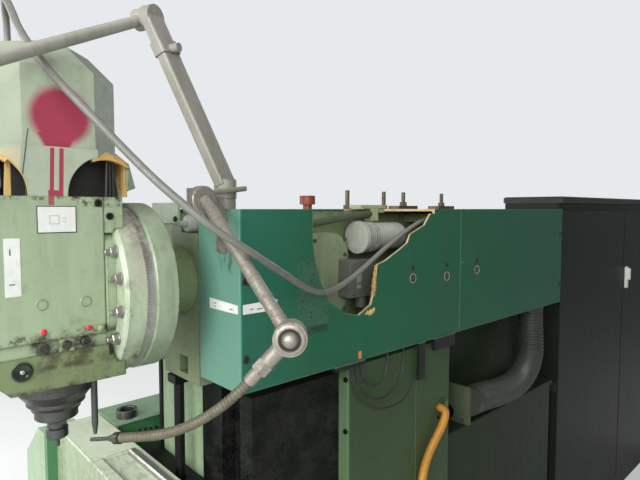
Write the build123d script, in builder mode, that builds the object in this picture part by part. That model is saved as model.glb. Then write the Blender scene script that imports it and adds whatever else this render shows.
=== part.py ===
from build123d import *
import math
import os

# Ram type universal milling machine, in millimetres.
# +X is the operator's right, +Y runs from the operator to the rear, +Z is up.
# The origin lies on the floor, under the spindle's centre plane.

# Fits
RUN = 0.3                # running gap between sliding faces of two bodies
CLEAR = 5.0              # free gap between bodies that must not touch
SOFT_EDGE = 6.0          # plain bevel or round on a casting's edge

# Floor, feet and base casting
FOOT_HEIGHT = 40.0
FOOT_RADIUS = 55.0
FOOT_WAIST = 40.0
FOOT_EDGE = 75.0
BASE_TOP = 170.0
BASE_HALF = 420.0
BASE_FRONT = -660.0
BASE_REAR = 390.0
BASE_CORNER = 40.0
TRAY_DEPTH = 35.0
TRAY_WALL = 30.0

# Column and the vertical ways on its front
COLUMN_HALF = 266.0
COLUMN_FRONT = -136.0
COLUMN_REAR = 365.0
COLUMN_TOP = 1290.0
COLUMN_CORNER = 10.0
SHOULDER_RISE = 22.0     # side rails on the column's top, beside the dovetail
SHOULDER_INNER = 120.0
SEAM_Y = 169.0           # joint line between the column's two castings
SEAM_WIDTH = 6.0
OUTLET_Y = 316.0         # round cable outlet in the column's right side
OUTLET_Z = 1077.0
OUTLET_RADIUS = 38.0
OUTLET_DEPTH = 12.0
WAY_LEFT = 278.0
WAY_RIGHT = 226.0
WAY_FRONT = -434.0
WAY_EDGE = 16.0          # the left way's face that shows beside the screw cover
WAY_INNER_FROM = -9.0
WAY_INNER_TO = 89.0
WAY_OUTER_FROM = 174.0
WAY_RECESS = 42.0

# Dovetail on the column's top that carries the ram
DOVETAIL_FOOT = 56.0     # half width at the narrow bottom
DOVETAIL_HEAD = 72.0     # half width at the wide top
DOVETAIL_BASE = 12.0
DOVETAIL_RISE = 34.0
BED_HALF = 110.0
BED_END = 1120.0

# Upright tube in front of the ways, through the knee, and its lug
TUBE_X = -56.0
TUBE_Y = -480.0
TUBE_RADIUS = 14.0
LUG_HALF = 22.0
LUG_DROP = 16.0

# Housing behind the column, duct and switch cabinet
REAR_HALF = 244.0
REAR_TOP = 960.0
REAR_END = 1230.0
REAR_LID = 18.0
REAR_LIP = 6.0
DUCT_HALF = 80.0
DUCT_X = 70.0
DUCT_TOP = 190.0
CABINET_LEFT = -57.0
CABINET_FACE = 210.0
CABINET_GAP = 120.0        # clear of the rear housing, bridged by the duct
CABINET_FRONT = REAR_END + CABINET_GAP
CABINET_TOP = 1810.0
CABINET_WALL = 4.0
CABINET_FRAME = 30.0
CABINET_PLINTH = 100.0
CABINET_LID = 30.0
CABINET_EAVE = 6.0
DOOR_WIDTH = 894.0
DOOR_GAP = 6.0
DOOR_THICK = 20.0
DOOR_BOTTOM = 120.0
DOOR_TOP = 1740.0
DOOR_ROUND = 4.0
PLATE_THICK = 10.0
PLATE_MARGIN = 60.0
HINGE_RADIUS = 6.0
HINGE_LENGTH = 40.0
HINGE_HEIGHTS = (300.0, 930.0, 1560.0)
HINGE_GAP = 2.0          # from the door's edge to the hinge's axis
LATCH_EDGE = 45.0
LATCH_Z = 1340.0
LATCH_WIDTH = 30.0
LATCH_HEIGHT = 130.0
LATCH_PLATE = 12.0
LEVER_WIDTH = 18.0
LEVER_LENGTH = 70.0
LEVER_RISE = 20.0
LEVER_THICK = 14.0

# Knee: carriage on the column's ways and the housing at its left end
KNEE_HALF = 300.0
KNEE_BOTTOM = 600.0
KNEE_TOP = 1000.0
KNEE_FRONT = -530.0
KNEE_JAW_REAR = -400.0
ARM_BOTTOM = 720.0       # arm from the carriage to the drive housing
ARM_TOP = 940.0
HOUSING_RIGHT = -400.0
HOUSING_LEFT = -575.0
HOUSING_REAR = -215.0
HOUSING_TOP = 1056.0
HOUSING_BOTTOM = 690.0
PANEL_DEPTH = 6.0
PANEL_MARGIN = 8.0
PANEL_REAR = 25.0
PANEL_HOLE = 12.0
PANEL_HOLE_DEPTH = 12.0
PANEL_HOLE_ROWS = (-474.0, -438.0, -412.0, -388.0)
PANEL_HOLE_DROP = 45.0
GROMMET_X = -444.0
GROMMET_Y = -472.0
GROMMET_RADIUS = 34.0
GROMMET_BORE = 23.0
GROMMET_HEIGHT = 26.0

# Cross slide and angle table
SLIDE_HALF = 540.0
SLIDE_FRONT = -664.0
SLIDE_TOP = 1038.0
SLIDE_BOTTOM = 640.0
SLIDE_COVER = 12.0
SLIDE_SLOTS = 3
SLIDE_SLOT_RISE = 50.0
RECESS_LEFT = -215.0
RECESS_FLOOR = 2.0
RECESS_FRONT = 26.0
RECESS_REAR = 14.0
RAIL_WIDTH = 22.0
RAIL_HEIGHT = 16.0
RAIL_START = 12.0
RAIL_END = 20.0
RAIL_BEVEL = 4.0
SLOT_WIDTH = 14.0
SLOT_HEAD = 24.0
SLOT_DEPTH = 24.0
SLOT_HEAD_DEPTH = 11.0
SLOT_PITCH = 63.0
END_LENGTH = 240.0       # gear housing on the slide's left end
END_FRONT = -700.0
END_REAR = -590.0
END_TOP = 1030.0
END_BOTTOM = 700.0
END_FLAT = 72.0
END_DROP = 140.0
TABLE_HALF = 400.0
TABLE_FRONT = -1180.0
TABLE_TOP = 880.0
TABLE_THICK = 62.0
TABLE_SLOTS = 5
TABLE_BACK = 45.0
TABLE_RIB = 40.0
TABLE_RIB_REACH = 200.0
TABLE_RIB_DROP = 90.0
TABLE_LIFT = 20.0        # the table's foot above the slide's underside

# Ram, its side covers and the break in the right one
COVER_TOP = 1750.0
COVER_HEIGHT = 420.0
COVER_LENGTH = 1734.0
COVER_FACE = 280.0
COVER_INNER = 95.0
COVER_WALL = 7.0
COVER_SEAM = 893.0
SEAM_CUT = 2.0
BREAK_INNER = 100.0      # how far in the right cover's top is broken away
RAM_FRONT = -500.0
RAM_HALF = 94.0
RAM_TOP = 1738.0
TOP_PLATE_START = 60.0
GROOVE_START = 30.0
POCKET_FROM = -10.0      # pocket low in the ram's front
POCKET_TO = 35.0
POCKET_LOW = 1320.0
POCKET_HEIGHT = 45.0
POCKET_DEPTH = 24.0
NOTCH_FROM = 10.0        # notch in the ram's top front corner
NOTCH_DROP = 48.0
STRIP_INNER = 272.0      # cable strips under the right cover's edge
STRIP_OUTER = 284.0
STRIPS = ((-205.0, -88.0, 12.0), (163.0, 193.0, 117.0), (247.0, 363.0, 39.0))

# Fittings behind the break, along Y from the ram's front
GEAR_FACE = 140.0
GEAR_FROM = 210.0
GEAR_TO = 495.0
GEAR_LOW = 1425.0
GEAR_HIGH = 1680.0
GEAR_CORNER = 70.0
GEAR_EDGE = 10.0
MOTOR_X = 165.0
MOTOR_Z = 1664.0
MOTOR_START = 500.0
MOTOR_LENGTH = 215.0
MOTOR_RADIUS = 43.0
MOTOR_FLANGE = 50.0
MOTOR_FLANGE_LENGTH = 12.0
MOTOR_RING = 47.0
MOTOR_RINGS = 5
MOTOR_RING_LENGTH = 5.0
MOTOR_DOME = 34.0
MOTOR_PAD = 18.0
TERMINAL_FACE = 190.0
TERMINAL_FROM = 446.0
TERMINAL_TO = 560.0
TERMINAL_LOW = 1487.0
TERMINAL_HIGH = 1598.0
TERMINAL_ROUND = 8.0
GLAND_RADIUS = 17.0
GLAND_DROP = 37.0
STUD_X = 40.0
STUD_OFFSETS = (588.0, 774.0, 886.0, 1133.0)
STUD_RADIUS = 7.0
STUD_HEIGHT = 62.0
STUD_NUT = 14.0
STUD_PADS = 2            # the rear studs that stand on a pad
PAD_LENGTH = 110.0
PAD_WIDTH = 50.0
PAD_HEIGHT = 12.0
FILLER_OFFSET = 411.0
FILLER_NECK = 14.0
FILLER_CAP = 24.0
FILLER_NECK_HEIGHT = 14.0
FILLER_CAP_HEIGHT = 27.0

# Swivel joint between ram and head
SWIVEL_Z = 1566.0
HUB_RADIUS = 150.0
HUB_WAIST = 90.0
HUB_TAPER = 58.0
DISC_RADIUS = 199.0
DISC_BEVEL = 3.0
CLAMP_BEVEL = 8.0
SCALE_RADIUS = 191.0
SWIVEL_REAR = -606.0
SCALE_REAR = -655.0
CLAMP_REAR = -677.0
CLAMP_FRONT = -724.0

# Vertical head
SPINDLE_Y = -808.0
HEAD_HALF = 140.0
HEAD_FRONT = -1000.0
HEAD_REAR = -742.0
HEAD_TOP = 1775.0
HEAD_BOTTOM = 1491.0
HEAD_BEVEL = 25.0
HEAD_FOOT_BEVEL = 30.0
HEAD_WAIST = 10.0
WAIST_START = 36.0
NECK_HALF = 150.0
NECK_FOOT = 125.0
NECK_SLOPE = 50.0
NECK_TOP = 1730.0
NECK_SHOULDER = 60.0
EAR_INNER = 100.0        # square lugs that sit over the flange's rim
EAR_OUTER = 140.0
EAR_REAR = -704.0
EAR_LOW = 1700.0
LOWER_TOP = 1463.0
LOWER_BOTTOM = 1391.0
LOWER_REAR = -702.0
LOWER_SEAM = -805.0
LOWER_STEP = 6.0
LOWER_START = 20.0
LOWER_BEVEL = 58.0
LOWER_BEVEL_RISE = 60.0
GLASS_Y = -903.0
GLASS_Z = 1438.0
GLASS_RADIUS = 19.0
GLASS_BORE = 12.0
GLASS_RISE = 5.0
WAIST_Z = 1477.0
BOSS_Y = -864.0
BOSS_RADIUS = 13.0
BOSS_RISE = 5.0
BLOCK_Y = -822.0
BLOCK_HALF = 15.0
BLOCK_RISE = 8.0
BLOCK_BORE = 9.0
PORT_Y = -785.0
PORT_RADIUS = 10.0
PORT_DEPTH = 7.0
NICHE_FROM = -739.0      # bolt niche in the lower housing's rear half
NICHE_TO = -706.0
NICHE_DEPTH = 20.0
NICHE_LOW = 1440.0

# Moulded cover over the head's motor
SHELL_HALF = 130.0
SHELL_FLARE = 10.0
SHELL_STEP = 3.0
SHELL_FRONT = -953.0
SHELL_REAR = -688.0
SHELL_CORNER = 65.0
SHELL_EDGE = 2027.0
SHELL_ROOF = 2083.0
SHELL_WAIST = 1873.0
SHELL_WALL = 5.0
SHELL_BEVEL = 40.0
ARCHWAY_INNER = 70.0
ARCHWAYS = ((-732.0, 80.0, 84.0), (-953.0, 70.0, 88.0))
HEAD_MOTOR_RADIUS = 72.0
HEAD_MOTOR_HEIGHT = 210.0
HEAD_MOTOR_FINS = 16
FIN_DEPTH = 9.0
FIN_THICK = 5.0
FIN_HEIGHT = 150.0
FIN_BASE = 20.0

# Spindle and tool
CAP_RADIUS = 78.0
CAP_LOW = 1350.0
CONE_RADIUS = 60.0
CONE_LOW = 1328.0
CONE_STEP = 1320.0
RING_RADIUS = 50.0
RING_LOW = 1310.0
CAP_BOTTOM = 1306.0
NOSE_RADIUS = 44.45
NOSE_BOTTOM = 1285.0
NOSE_BEVEL = 2.0
KEY_X = 34.0
KEY_HALF = 8.0
KEY_DROP = 7.0
TAPER_MOUTH = 22.0
TAPER_TOP = 14.0
TAPER_SHOWN = 19.0
COLLAR_RISE = 8.0
HOLDER_NECK = 20.0
NECK_DROP = 14.0
NUT_RADIUS = 23.0
NUT_TOP = 1262.0
NUT_BOTTOM = 1238.0
MILL_RADIUS = 5.0
MILL_TIP = 1216.0

# Coolant rod beside the spindle
ROD_RADIUS = 7.0
ROD_X = 62.0
ROD_Y = -746.0
ROD_TIP = 1245.0
ROD_TAPER = 24.0
ROD_POINT = 3.5

# Lamp arm
LAMP_X = 204.0
LAMP_OFFSET = 12.0       # behind the ram's front
LAMP_FOOT = 24.0
LAMP_FOOT_RADIUS = 24.0
LAMP_HUB_RADIUS = 26.0
LAMP_HUB_HEIGHT = 44.0
LAMP_ARM_RISE = 34.0
LAMP_SPAN = (-114.0, -119.0, 436.0)
BOOM_HEADING = (147.0, -335.0, -189.0)
ARM_WIDTH = 56.0
ARM_THICK = 26.0
ARM_ROUND = 6.0
COLLAR_DROP = 62.0
COLLAR_LENGTH = 30.0
COLLAR_GROW = 6.0
KNOB_RADIUS = 10.0
KNOB_REACH = 26.0
BOOM_RADIUS = 12.5
BOOM_LENGTH = 550.0
KNUCKLE = 27.0
KNUCKLE_RADIUS = 24.0
LAMP_NECK = 24.0
LAMP_MOUTH = 52.0
LAMP_DEPTH = 90.0

# Coolant arm: bracket, jointed pipe, gooseneck and nozzle
BRACKET_FROM = 190.0
BRACKET_TO = 230.0
BRACKET_LOW = 1650.0
BRACKET_HIGH = 1744.0
BRACKET_FOOT = 6.0
BRACKET_WEB = 8.0
BRACKET_RISE = 25.0
JOINT_REACH = 72.0       # ahead of the ram's front
JOINT_Z = 1770.0
JOINT_RADIUS = 30.0
JOINT_THICK = 26.0
JOINT_ROUND = 4.0
PIPE_RADIUS = 13.0
PIPE_SPAN = (296.0, -8.0, -243.0)
PIPE_TURN = -43.0        # heading of the second joint's axis, in degrees
PIPE_JOINT_THICK = 36.0
FITTING_SHARES = (0.55, 0.75)
FITTING_RADIUS = 15.0
FITTING_NUT = 17.0
FITTING_END = 12.5
LEVER_ROD = 6.0
LEVER_START = (248.0, -562.0, 1784.0)
LEVER_TIP = (248.0, -462.0, 1797.0)
HOSE_RADIUS = 10.0
NOZZLE_COLLAR = 14.0
NOZZLE_GROW = 2.0
NOZZLE_CONE = 34.0
NOZZLE_LENGTH = 88.0
NOZZLE_SMALL = 5.0
NOZZLE_TIP = 4.0

# Conduits and cables
CORD_RADIUS = 7.5
LOOP_RADIUS = 2.5
AMBER_RADIUS = 14.0
TRUNK_RADIUS = 53.5
GLAND_X = -80.0
GLAND_Y = -862.0
CORD_GLAND = 13.0
CORD_GLAND_HEIGHT = 15.0
CLIP_Y = 322.0
CLIP_LENGTH = 28.0
CLIP_REACH = 250.0
CLIP_LOW = 1705.0
CLIP_HIGH = 1735.0
TRUNK_Y = 1076.0
TRUNK_FLANGE_HALF = 65.0
TRUNK_FLANGE = 12.0
SEAT_FROM = 151.0        # bracket at the corrugated conduit's lower end
SEAT_TO = 262.0
SEAT_Y = 497.0
SEAT_TOP = 1100.0
SEAT_ARCH_X = 172.0
SEAT_ARCH_Z = 992.0
SEAT_ARCH = 27.0

os.makedirs("parts", exist_ok=True)


def save(piece, name):
    piece.part.label = name
    export_step(piece.part, "parts/" + name + ".step")


def side_profile(points, x_from, x_to, mode=Mode.ADD):
    # closed outline in (Y, Z), drawn out along X
    with BuildSketch(Plane.YZ.offset(x_from)) as outline:
        with BuildLine():
            Polyline(*points, close=True)
        make_face()
    extrude(outline.sketch, amount=x_to - x_from, mode=mode)


def plan_profile(points, z_from, z_to, mode=Mode.ADD):
    # closed outline in (X, Y), drawn up along Z
    with BuildSketch(Plane.XY.offset(z_from)) as outline:
        with BuildLine():
            Polyline(*points, close=True)
        make_face()
    extrude(outline.sketch, amount=z_to - z_from, mode=mode)


def front_profile(points, y_from, y_to, mode=Mode.ADD):
    # closed outline in (X, Z), drawn back along Y
    with BuildSketch(Plane.XZ.offset(-y_to)) as outline:
        with BuildLine():
            Polyline(*points, close=True)
        make_face()
    extrude(outline.sketch, amount=y_to - y_from, mode=mode)


def slab(x_from, x_to, y_from, y_to, z_from, z_to, mode=Mode.ADD):
    centre = ((x_from + x_to) / 2, (y_from + y_to) / 2, (z_from + z_to) / 2)
    with Locations(centre):
        Box(x_to - x_from, y_to - y_from, z_to - z_from, mode=mode)


def side_slab(side, inner, outer, y_from, y_to, z_from, z_to, mode=Mode.ADD):
    # the same slab on the machine's right (side 1) or left (side -1)
    low, high = sorted((side * inner, side * outer))
    slab(low, high, y_from, y_to, z_from, z_to, mode=mode)


def rod_between(start, end, radius, mode=Mode.ADD):
    # round bar from one point to another
    axis = Vector(*end) - Vector(*start)
    with BuildSketch(Plane(origin=start, z_dir=axis)) as ring:
        Circle(radius)
    extrude(ring.sketch, amount=axis.length, mode=mode)


def cone_between(start, end, first, last):
    axis = Vector(*end) - Vector(*start)
    with BuildSketch(Plane(origin=start, z_dir=axis)) as start_ring:
        Circle(first)
    with BuildSketch(Plane(origin=end, z_dir=axis)) as end_ring:
        Circle(last)
    loft([start_ring.sketch, end_ring.sketch])


def disc_across_x(y, z, radius, x_from, x_to, mode=Mode.ADD):
    with BuildSketch(Plane.YZ.offset(x_from)) as ring:
        with Locations((y, z)):
            Circle(radius)
    extrude(ring.sketch, amount=x_to - x_from, mode=mode)


def disc_across_y(x, z, radius, y_from, y_to, mode=Mode.ADD):
    with BuildSketch(Plane.XZ.offset(-y_to)) as ring:
        with Locations((x, z)):
            Circle(radius)
    extrude(ring.sketch, amount=y_to - y_from, mode=mode)


def turned(points, x, y):
    # outline in (radius, Z), turned about the upright axis at (x, y)
    with BuildSketch(Plane.XZ.offset(-y)) as outline:
        with BuildLine():
            Polyline(*[(x + radius, z) for radius, z in points], close=True)
        make_face()
    revolve(outline.sketch, axis=Axis((x, y, 0), (0, 0, 1)))


def cord_radii(points):
    # each corner's arc is 0.45 of its shorter run over the tangent of half its turn
    radii = []
    for before, here, after in zip(points, points[1:], points[2:]):
        first = Vector(*here) - Vector(*before)
        second = Vector(*after) - Vector(*here)
        turn = math.radians(first.get_angle(second))
        radii.append(0.45 * min(first.length, second.length) / math.tan(turn / 2))
    return radii


def tube_along(points, radius, name):
    radii = cord_radii(points)
    with BuildLine() as route:
        FilletPolyline(*points, radius=radii)
    start = route.line @ 0
    heading = route.line % 0
    with BuildPart() as tube:
        with BuildSketch(Plane(origin=start, z_dir=heading)) as ring:
            Circle(radius)
        sweep(ring.sketch, path=route.line)
    expected = math.pi * radius ** 2 * sum(edge.length for edge in route.edges())
    print(name, "radii", [round(r) for r in radii], "volume ratio", round(tube.part.volume / expected, 4))
    save(tube, name)


# Base casting with its chip tray
with BuildPart() as base_casting:
    with BuildSketch(Plane.XY.offset(FOOT_HEIGHT)):
        with Locations((0, (BASE_FRONT + BASE_REAR) / 2)):
            RectangleRounded(2 * BASE_HALF, BASE_REAR - BASE_FRONT, BASE_CORNER)
    extrude(amount=BASE_TOP - FOOT_HEIGHT)
    chamfer(base_casting.edges().group_by(Axis.Z)[-1], length=SOFT_EDGE)
    slab(-BASE_HALF + TRAY_WALL, BASE_HALF - TRAY_WALL, BASE_FRONT + TRAY_WALL, WAY_FRONT - TRAY_WALL,
         BASE_TOP - TRAY_DEPTH, BASE_TOP, mode=Mode.SUBTRACT)
    for side, half in ((1, COLUMN_HALF), (-1, WAY_LEFT)):
        side_slab(side, half + TRAY_WALL, BASE_HALF - TRAY_WALL, WAY_FRONT - TRAY_WALL, COLUMN_REAR - TRAY_WALL,
                  BASE_TOP - TRAY_DEPTH, BASE_TOP, mode=Mode.SUBTRACT)
save(base_casting, "base_casting")

foot_x = BASE_HALF - FOOT_EDGE
foot_rows = [BASE_FRONT + FOOT_EDGE, (BASE_FRONT + BASE_REAR) / 2, BASE_REAR - FOOT_EDGE]
foot_places = [(column_side, row) for column_side in (-foot_x, foot_x) for row in foot_rows] + [(0, 0)]
with BuildPart() as levelling_feet:
    with Locations(*foot_places):
        Cone(FOOT_RADIUS, FOOT_WAIST, FOOT_HEIGHT, align=(Align.CENTER, Align.CENTER, Align.MIN))
save(levelling_feet, "levelling_feet")

# Column: a box casting with side rails on top, a joint line and a cable outlet
with BuildPart() as column:
    with BuildSketch(Plane.XY.offset(BASE_TOP)):
        with Locations((0, (COLUMN_FRONT + COLUMN_REAR) / 2)):
            RectangleRounded(2 * COLUMN_HALF, COLUMN_REAR - COLUMN_FRONT, COLUMN_CORNER)
    extrude(amount=COLUMN_TOP + SHOULDER_RISE - BASE_TOP)
    slab(-SHOULDER_INNER, SHOULDER_INNER, COLUMN_FRONT, COLUMN_REAR,
         COLUMN_TOP, COLUMN_TOP + SHOULDER_RISE, mode=Mode.SUBTRACT)
    for side in (-1, 1):
        side_slab(side, COLUMN_HALF - SEAM_WIDTH, COLUMN_HALF, SEAM_Y - SEAM_WIDTH / 2, SEAM_Y + SEAM_WIDTH / 2,
                  BASE_TOP, COLUMN_TOP + SHOULDER_RISE, mode=Mode.SUBTRACT)
    disc_across_x(OUTLET_Y, OUTLET_Z, OUTLET_RADIUS, COLUMN_HALF - OUTLET_DEPTH, COLUMN_HALF, mode=Mode.SUBTRACT)
save(column, "column")

# Vertical ways in front of the column
recess = WAY_FRONT + WAY_RECESS
cover_left = -WAY_LEFT + WAY_EDGE
way_points = [
    (-WAY_LEFT, COLUMN_FRONT), (-WAY_LEFT, WAY_FRONT), (cover_left, WAY_FRONT), (cover_left, recess),
    (WAY_INNER_FROM, recess), (WAY_INNER_FROM, WAY_FRONT), (WAY_INNER_TO, WAY_FRONT), (WAY_INNER_TO, recess),
    (WAY_OUTER_FROM, recess), (WAY_OUTER_FROM, WAY_FRONT), (WAY_RIGHT, WAY_FRONT), (WAY_RIGHT, COLUMN_FRONT),
]
with BuildPart() as vertical_ways:
    plan_profile(way_points, BASE_TOP, COLUMN_TOP)
save(vertical_ways, "vertical_ways")

with BuildPart() as screw_cover:
    slab(cover_left, WAY_INNER_FROM, WAY_FRONT + CLEAR, recess, BASE_TOP, COLUMN_TOP)
    chamfer(screw_cover.edges().filter_by(Axis.Z).group_by(Axis.Y)[0], length=SOFT_EDGE / 2)
save(screw_cover, "screw_cover")

# Dovetail way for the ram, with the lug that holds the upright tube
way_base = COLUMN_TOP + DOVETAIL_BASE
lug_low = COLUMN_TOP - LUG_DROP
with BuildPart() as ram_way:
    front_profile([
        (-DOVETAIL_HEAD, COLUMN_TOP), (DOVETAIL_HEAD, COLUMN_TOP), (DOVETAIL_HEAD, way_base),
        (DOVETAIL_FOOT, way_base), (DOVETAIL_HEAD, way_base + DOVETAIL_RISE),
        (-DOVETAIL_HEAD, way_base + DOVETAIL_RISE), (-DOVETAIL_FOOT, way_base), (-DOVETAIL_HEAD, way_base),
    ], WAY_FRONT, BED_END)
    slab(TUBE_X - LUG_HALF, TUBE_X + LUG_HALF, TUBE_Y - LUG_HALF, WAY_FRONT, lug_low, way_base - CLEAR)
save(ram_way, "ram_way")

with BuildPart() as upright_tube:
    rod_between((TUBE_X, TUBE_Y, BASE_TOP - TRAY_DEPTH), (TUBE_X, TUBE_Y, lug_low), TUBE_RADIUS)
save(upright_tube, "upright_tube")

# Housing behind the column, with the bed that carries the dovetail on
with BuildPart() as rear_housing:
    slab(-REAR_HALF, REAR_HALF, COLUMN_REAR, REAR_END, 0, REAR_TOP)
    slab(-REAR_HALF, REAR_HALF, COLUMN_REAR, BASE_REAR, 0, BASE_TOP, mode=Mode.SUBTRACT)
    chamfer(rear_housing.edges().filter_by(Axis.Z).group_by(Axis.Y)[-1], length=SOFT_EDGE)
    slab(-REAR_HALF - REAR_LIP, REAR_HALF + REAR_LIP, COLUMN_REAR, REAR_END + REAR_LIP,
         REAR_TOP - REAR_LID, REAR_TOP)
    chamfer(rear_housing.edges().group_by(Axis.Z)[-1], length=SOFT_EDGE / 2)
    slab(-BED_HALF, BED_HALF, COLUMN_REAR, BED_END, REAR_TOP - REAR_LID, COLUMN_TOP)
save(rear_housing, "rear_housing")

with BuildPart() as cable_duct:
    slab(DUCT_X - DUCT_HALF, DUCT_X + DUCT_HALF, REAR_END, CABINET_FRONT, 0, DUCT_TOP)
    fillet(cable_duct.edges().filter_by(Axis.Y).group_by(Axis.Z)[-1], radius=2 * SOFT_EDGE)
save(cable_duct, "cable_duct")

# Switch cabinet, open on its +X side
cabinet_rear = CABINET_FRONT + 2 * DOOR_WIDTH + 3 * DOOR_GAP
hinge_x = CABINET_FACE + DOOR_THICK
with BuildPart() as cabinet_shell:
    slab(CABINET_LEFT, CABINET_FACE, CABINET_FRONT, cabinet_rear, 0, CABINET_TOP - CABINET_LID)
    slab(CABINET_LEFT + CABINET_WALL, CABINET_FACE - CABINET_WALL, CABINET_FRONT + CABINET_WALL,
         cabinet_rear - CABINET_WALL, CABINET_PLINTH, CABINET_TOP - CABINET_LID - CABINET_WALL,
         mode=Mode.SUBTRACT)
    slab(CABINET_FACE - CABINET_WALL, CABINET_FACE, CABINET_FRONT + CABINET_FRAME, cabinet_rear - CABINET_FRAME,
         DOOR_BOTTOM + CABINET_FRAME, DOOR_TOP - CABINET_FRAME, mode=Mode.SUBTRACT)
save(cabinet_shell, "cabinet_shell")

with BuildPart() as cabinet_lid:
    slab(CABINET_LEFT - CABINET_EAVE, hinge_x, CABINET_FRONT - CABINET_EAVE, cabinet_rear + CABINET_EAVE,
         CABINET_TOP - CABINET_LID, CABINET_TOP)
    chamfer(cabinet_lid.edges().group_by(Axis.Z)[-1], length=SOFT_EDGE)
save(cabinet_lid, "cabinet_lid")

with BuildPart() as mounting_plate:
    slab(CABINET_LEFT + CABINET_WALL, CABINET_LEFT + CABINET_WALL + PLATE_THICK,
         CABINET_FRONT + PLATE_MARGIN, cabinet_rear - PLATE_MARGIN,
         CABINET_PLINTH + PLATE_MARGIN, CABINET_TOP - 2 * PLATE_MARGIN)
save(mounting_plate, "mounting_plate")


# Doors, each with the knuckles of its hinges on its outer edge
def cabinet_door(start, axis_y, name):
    with BuildPart() as door:
        slab(CABINET_FACE + RUN, hinge_x, start, start + DOOR_WIDTH, DOOR_BOTTOM, DOOR_TOP)
        fillet(door.edges().filter_by(Axis.Z).group_by(Axis.X)[-1], radius=DOOR_ROUND)
        for height in HINGE_HEIGHTS:
            rod_between((hinge_x, axis_y, height), (hinge_x, axis_y, height + HINGE_LENGTH), HINGE_RADIUS)
    save(door, name)


front_door_start = CABINET_FRONT + DOOR_GAP
rear_door_start = front_door_start + DOOR_WIDTH + DOOR_GAP
cabinet_door(front_door_start, front_door_start - HINGE_GAP, "front_cabinet_door")
cabinet_door(rear_door_start, rear_door_start + DOOR_WIDTH + HINGE_GAP, "rear_cabinet_door")

latch_y = rear_door_start + LATCH_EDGE
with BuildPart() as door_latch:
    with BuildSketch(Plane.YZ.offset(hinge_x)):
        with Locations((latch_y, LATCH_Z)):
            RectangleRounded(LATCH_WIDTH, LATCH_HEIGHT, LATCH_WIDTH / 3)
    extrude(amount=LATCH_PLATE)
    with BuildSketch(Plane.YZ.offset(hinge_x + LATCH_PLATE)):
        with Locations((latch_y, LATCH_Z + LEVER_RISE)):
            SlotOverall(LEVER_LENGTH, LEVER_WIDTH, rotation=90)
    extrude(amount=LEVER_THICK)
save(door_latch, "door_latch")

# Knee carriage, jawed around the ways and bored for the upright tube
knee_back = WAY_FRONT - RUN
knee_points = [
    (-KNEE_HALF, KNEE_FRONT + RUN), (KNEE_HALF, KNEE_FRONT + RUN), (KNEE_HALF, KNEE_JAW_REAR),
    (WAY_RIGHT + RUN, KNEE_JAW_REAR), (WAY_RIGHT + RUN, knee_back), (-WAY_LEFT - RUN, knee_back),
    (-WAY_LEFT - RUN, KNEE_JAW_REAR), (-KNEE_HALF, KNEE_JAW_REAR),
]
with BuildPart() as knee_carriage:
    plan_profile(knee_points, KNEE_BOTTOM, KNEE_TOP)
    slab(HOUSING_RIGHT, -KNEE_HALF, KNEE_FRONT + CLEAR, KNEE_JAW_REAR, ARM_BOTTOM, ARM_TOP)
    rod_between((TUBE_X, TUBE_Y, KNEE_BOTTOM), (TUBE_X, TUBE_Y, KNEE_TOP), TUBE_RADIUS + CLEAR, mode=Mode.SUBTRACT)
save(knee_carriage, "knee_carriage")

panel_floor = HOUSING_RIGHT - PANEL_DEPTH
panel_top = HOUSING_TOP - PANEL_MARGIN
panel_split = KNEE_JAW_REAR + PANEL_MARGIN
with BuildPart() as drive_housing:
    slab(HOUSING_LEFT, HOUSING_RIGHT, KNEE_FRONT + CLEAR, HOUSING_REAR, HOUSING_BOTTOM, HOUSING_TOP)
    chamfer(drive_housing.edges().filter_by(Axis.Y).group_by(Axis.Z)[-1], length=SOFT_EDGE)
    slab(panel_floor, HOUSING_RIGHT, panel_split, HOUSING_REAR - PANEL_REAR,
         HOUSING_BOTTOM + PANEL_MARGIN, panel_top, mode=Mode.SUBTRACT)
    slab(panel_floor, HOUSING_RIGHT, KNEE_FRONT + CLEAR + PANEL_MARGIN, panel_split,
         ARM_TOP + PANEL_MARGIN, panel_top, mode=Mode.SUBTRACT)
    for row in PANEL_HOLE_ROWS:
        disc_across_x(row, HOUSING_TOP - PANEL_HOLE_DROP, PANEL_HOLE / 2,
                      panel_floor - PANEL_HOLE_DEPTH, panel_floor, mode=Mode.SUBTRACT)
save(drive_housing, "drive_housing")

with BuildPart() as cable_grommet:
    with BuildSketch(Plane.XY.offset(HOUSING_TOP)):
        with Locations((GROMMET_X, GROMMET_Y)):
            Circle(GROMMET_RADIUS)
            Circle(GROMMET_BORE, mode=Mode.SUBTRACT)
    extrude(amount=GROMMET_HEIGHT)
    fillet(cable_grommet.edges().group_by(Axis.Z)[-1], radius=(GROMMET_RADIUS - GROMMET_BORE) / 3)
save(cable_grommet, "cable_grommet")


# Slots with a wide head, cut along X into the slide's face and the table's top
def face_slot(row):
    floor = SLIDE_FRONT + SLOT_DEPTH
    slab(-SLIDE_HALF, SLIDE_HALF, SLIDE_FRONT, floor,
         row - SLOT_WIDTH / 2, row + SLOT_WIDTH / 2, mode=Mode.SUBTRACT)
    slab(-SLIDE_HALF, SLIDE_HALF, floor - SLOT_HEAD_DEPTH, floor,
         row - SLOT_HEAD / 2, row + SLOT_HEAD / 2, mode=Mode.SUBTRACT)


def table_slot(row):
    floor = TABLE_TOP - SLOT_DEPTH
    slab(-TABLE_HALF, TABLE_HALF, row - SLOT_WIDTH / 2, row + SLOT_WIDTH / 2,
         floor, TABLE_TOP, mode=Mode.SUBTRACT)
    slab(-TABLE_HALF, TABLE_HALF, row - SLOT_HEAD / 2, row + SLOT_HEAD / 2,
         floor, floor + SLOT_HEAD_DEPTH, mode=Mode.SUBTRACT)


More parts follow.
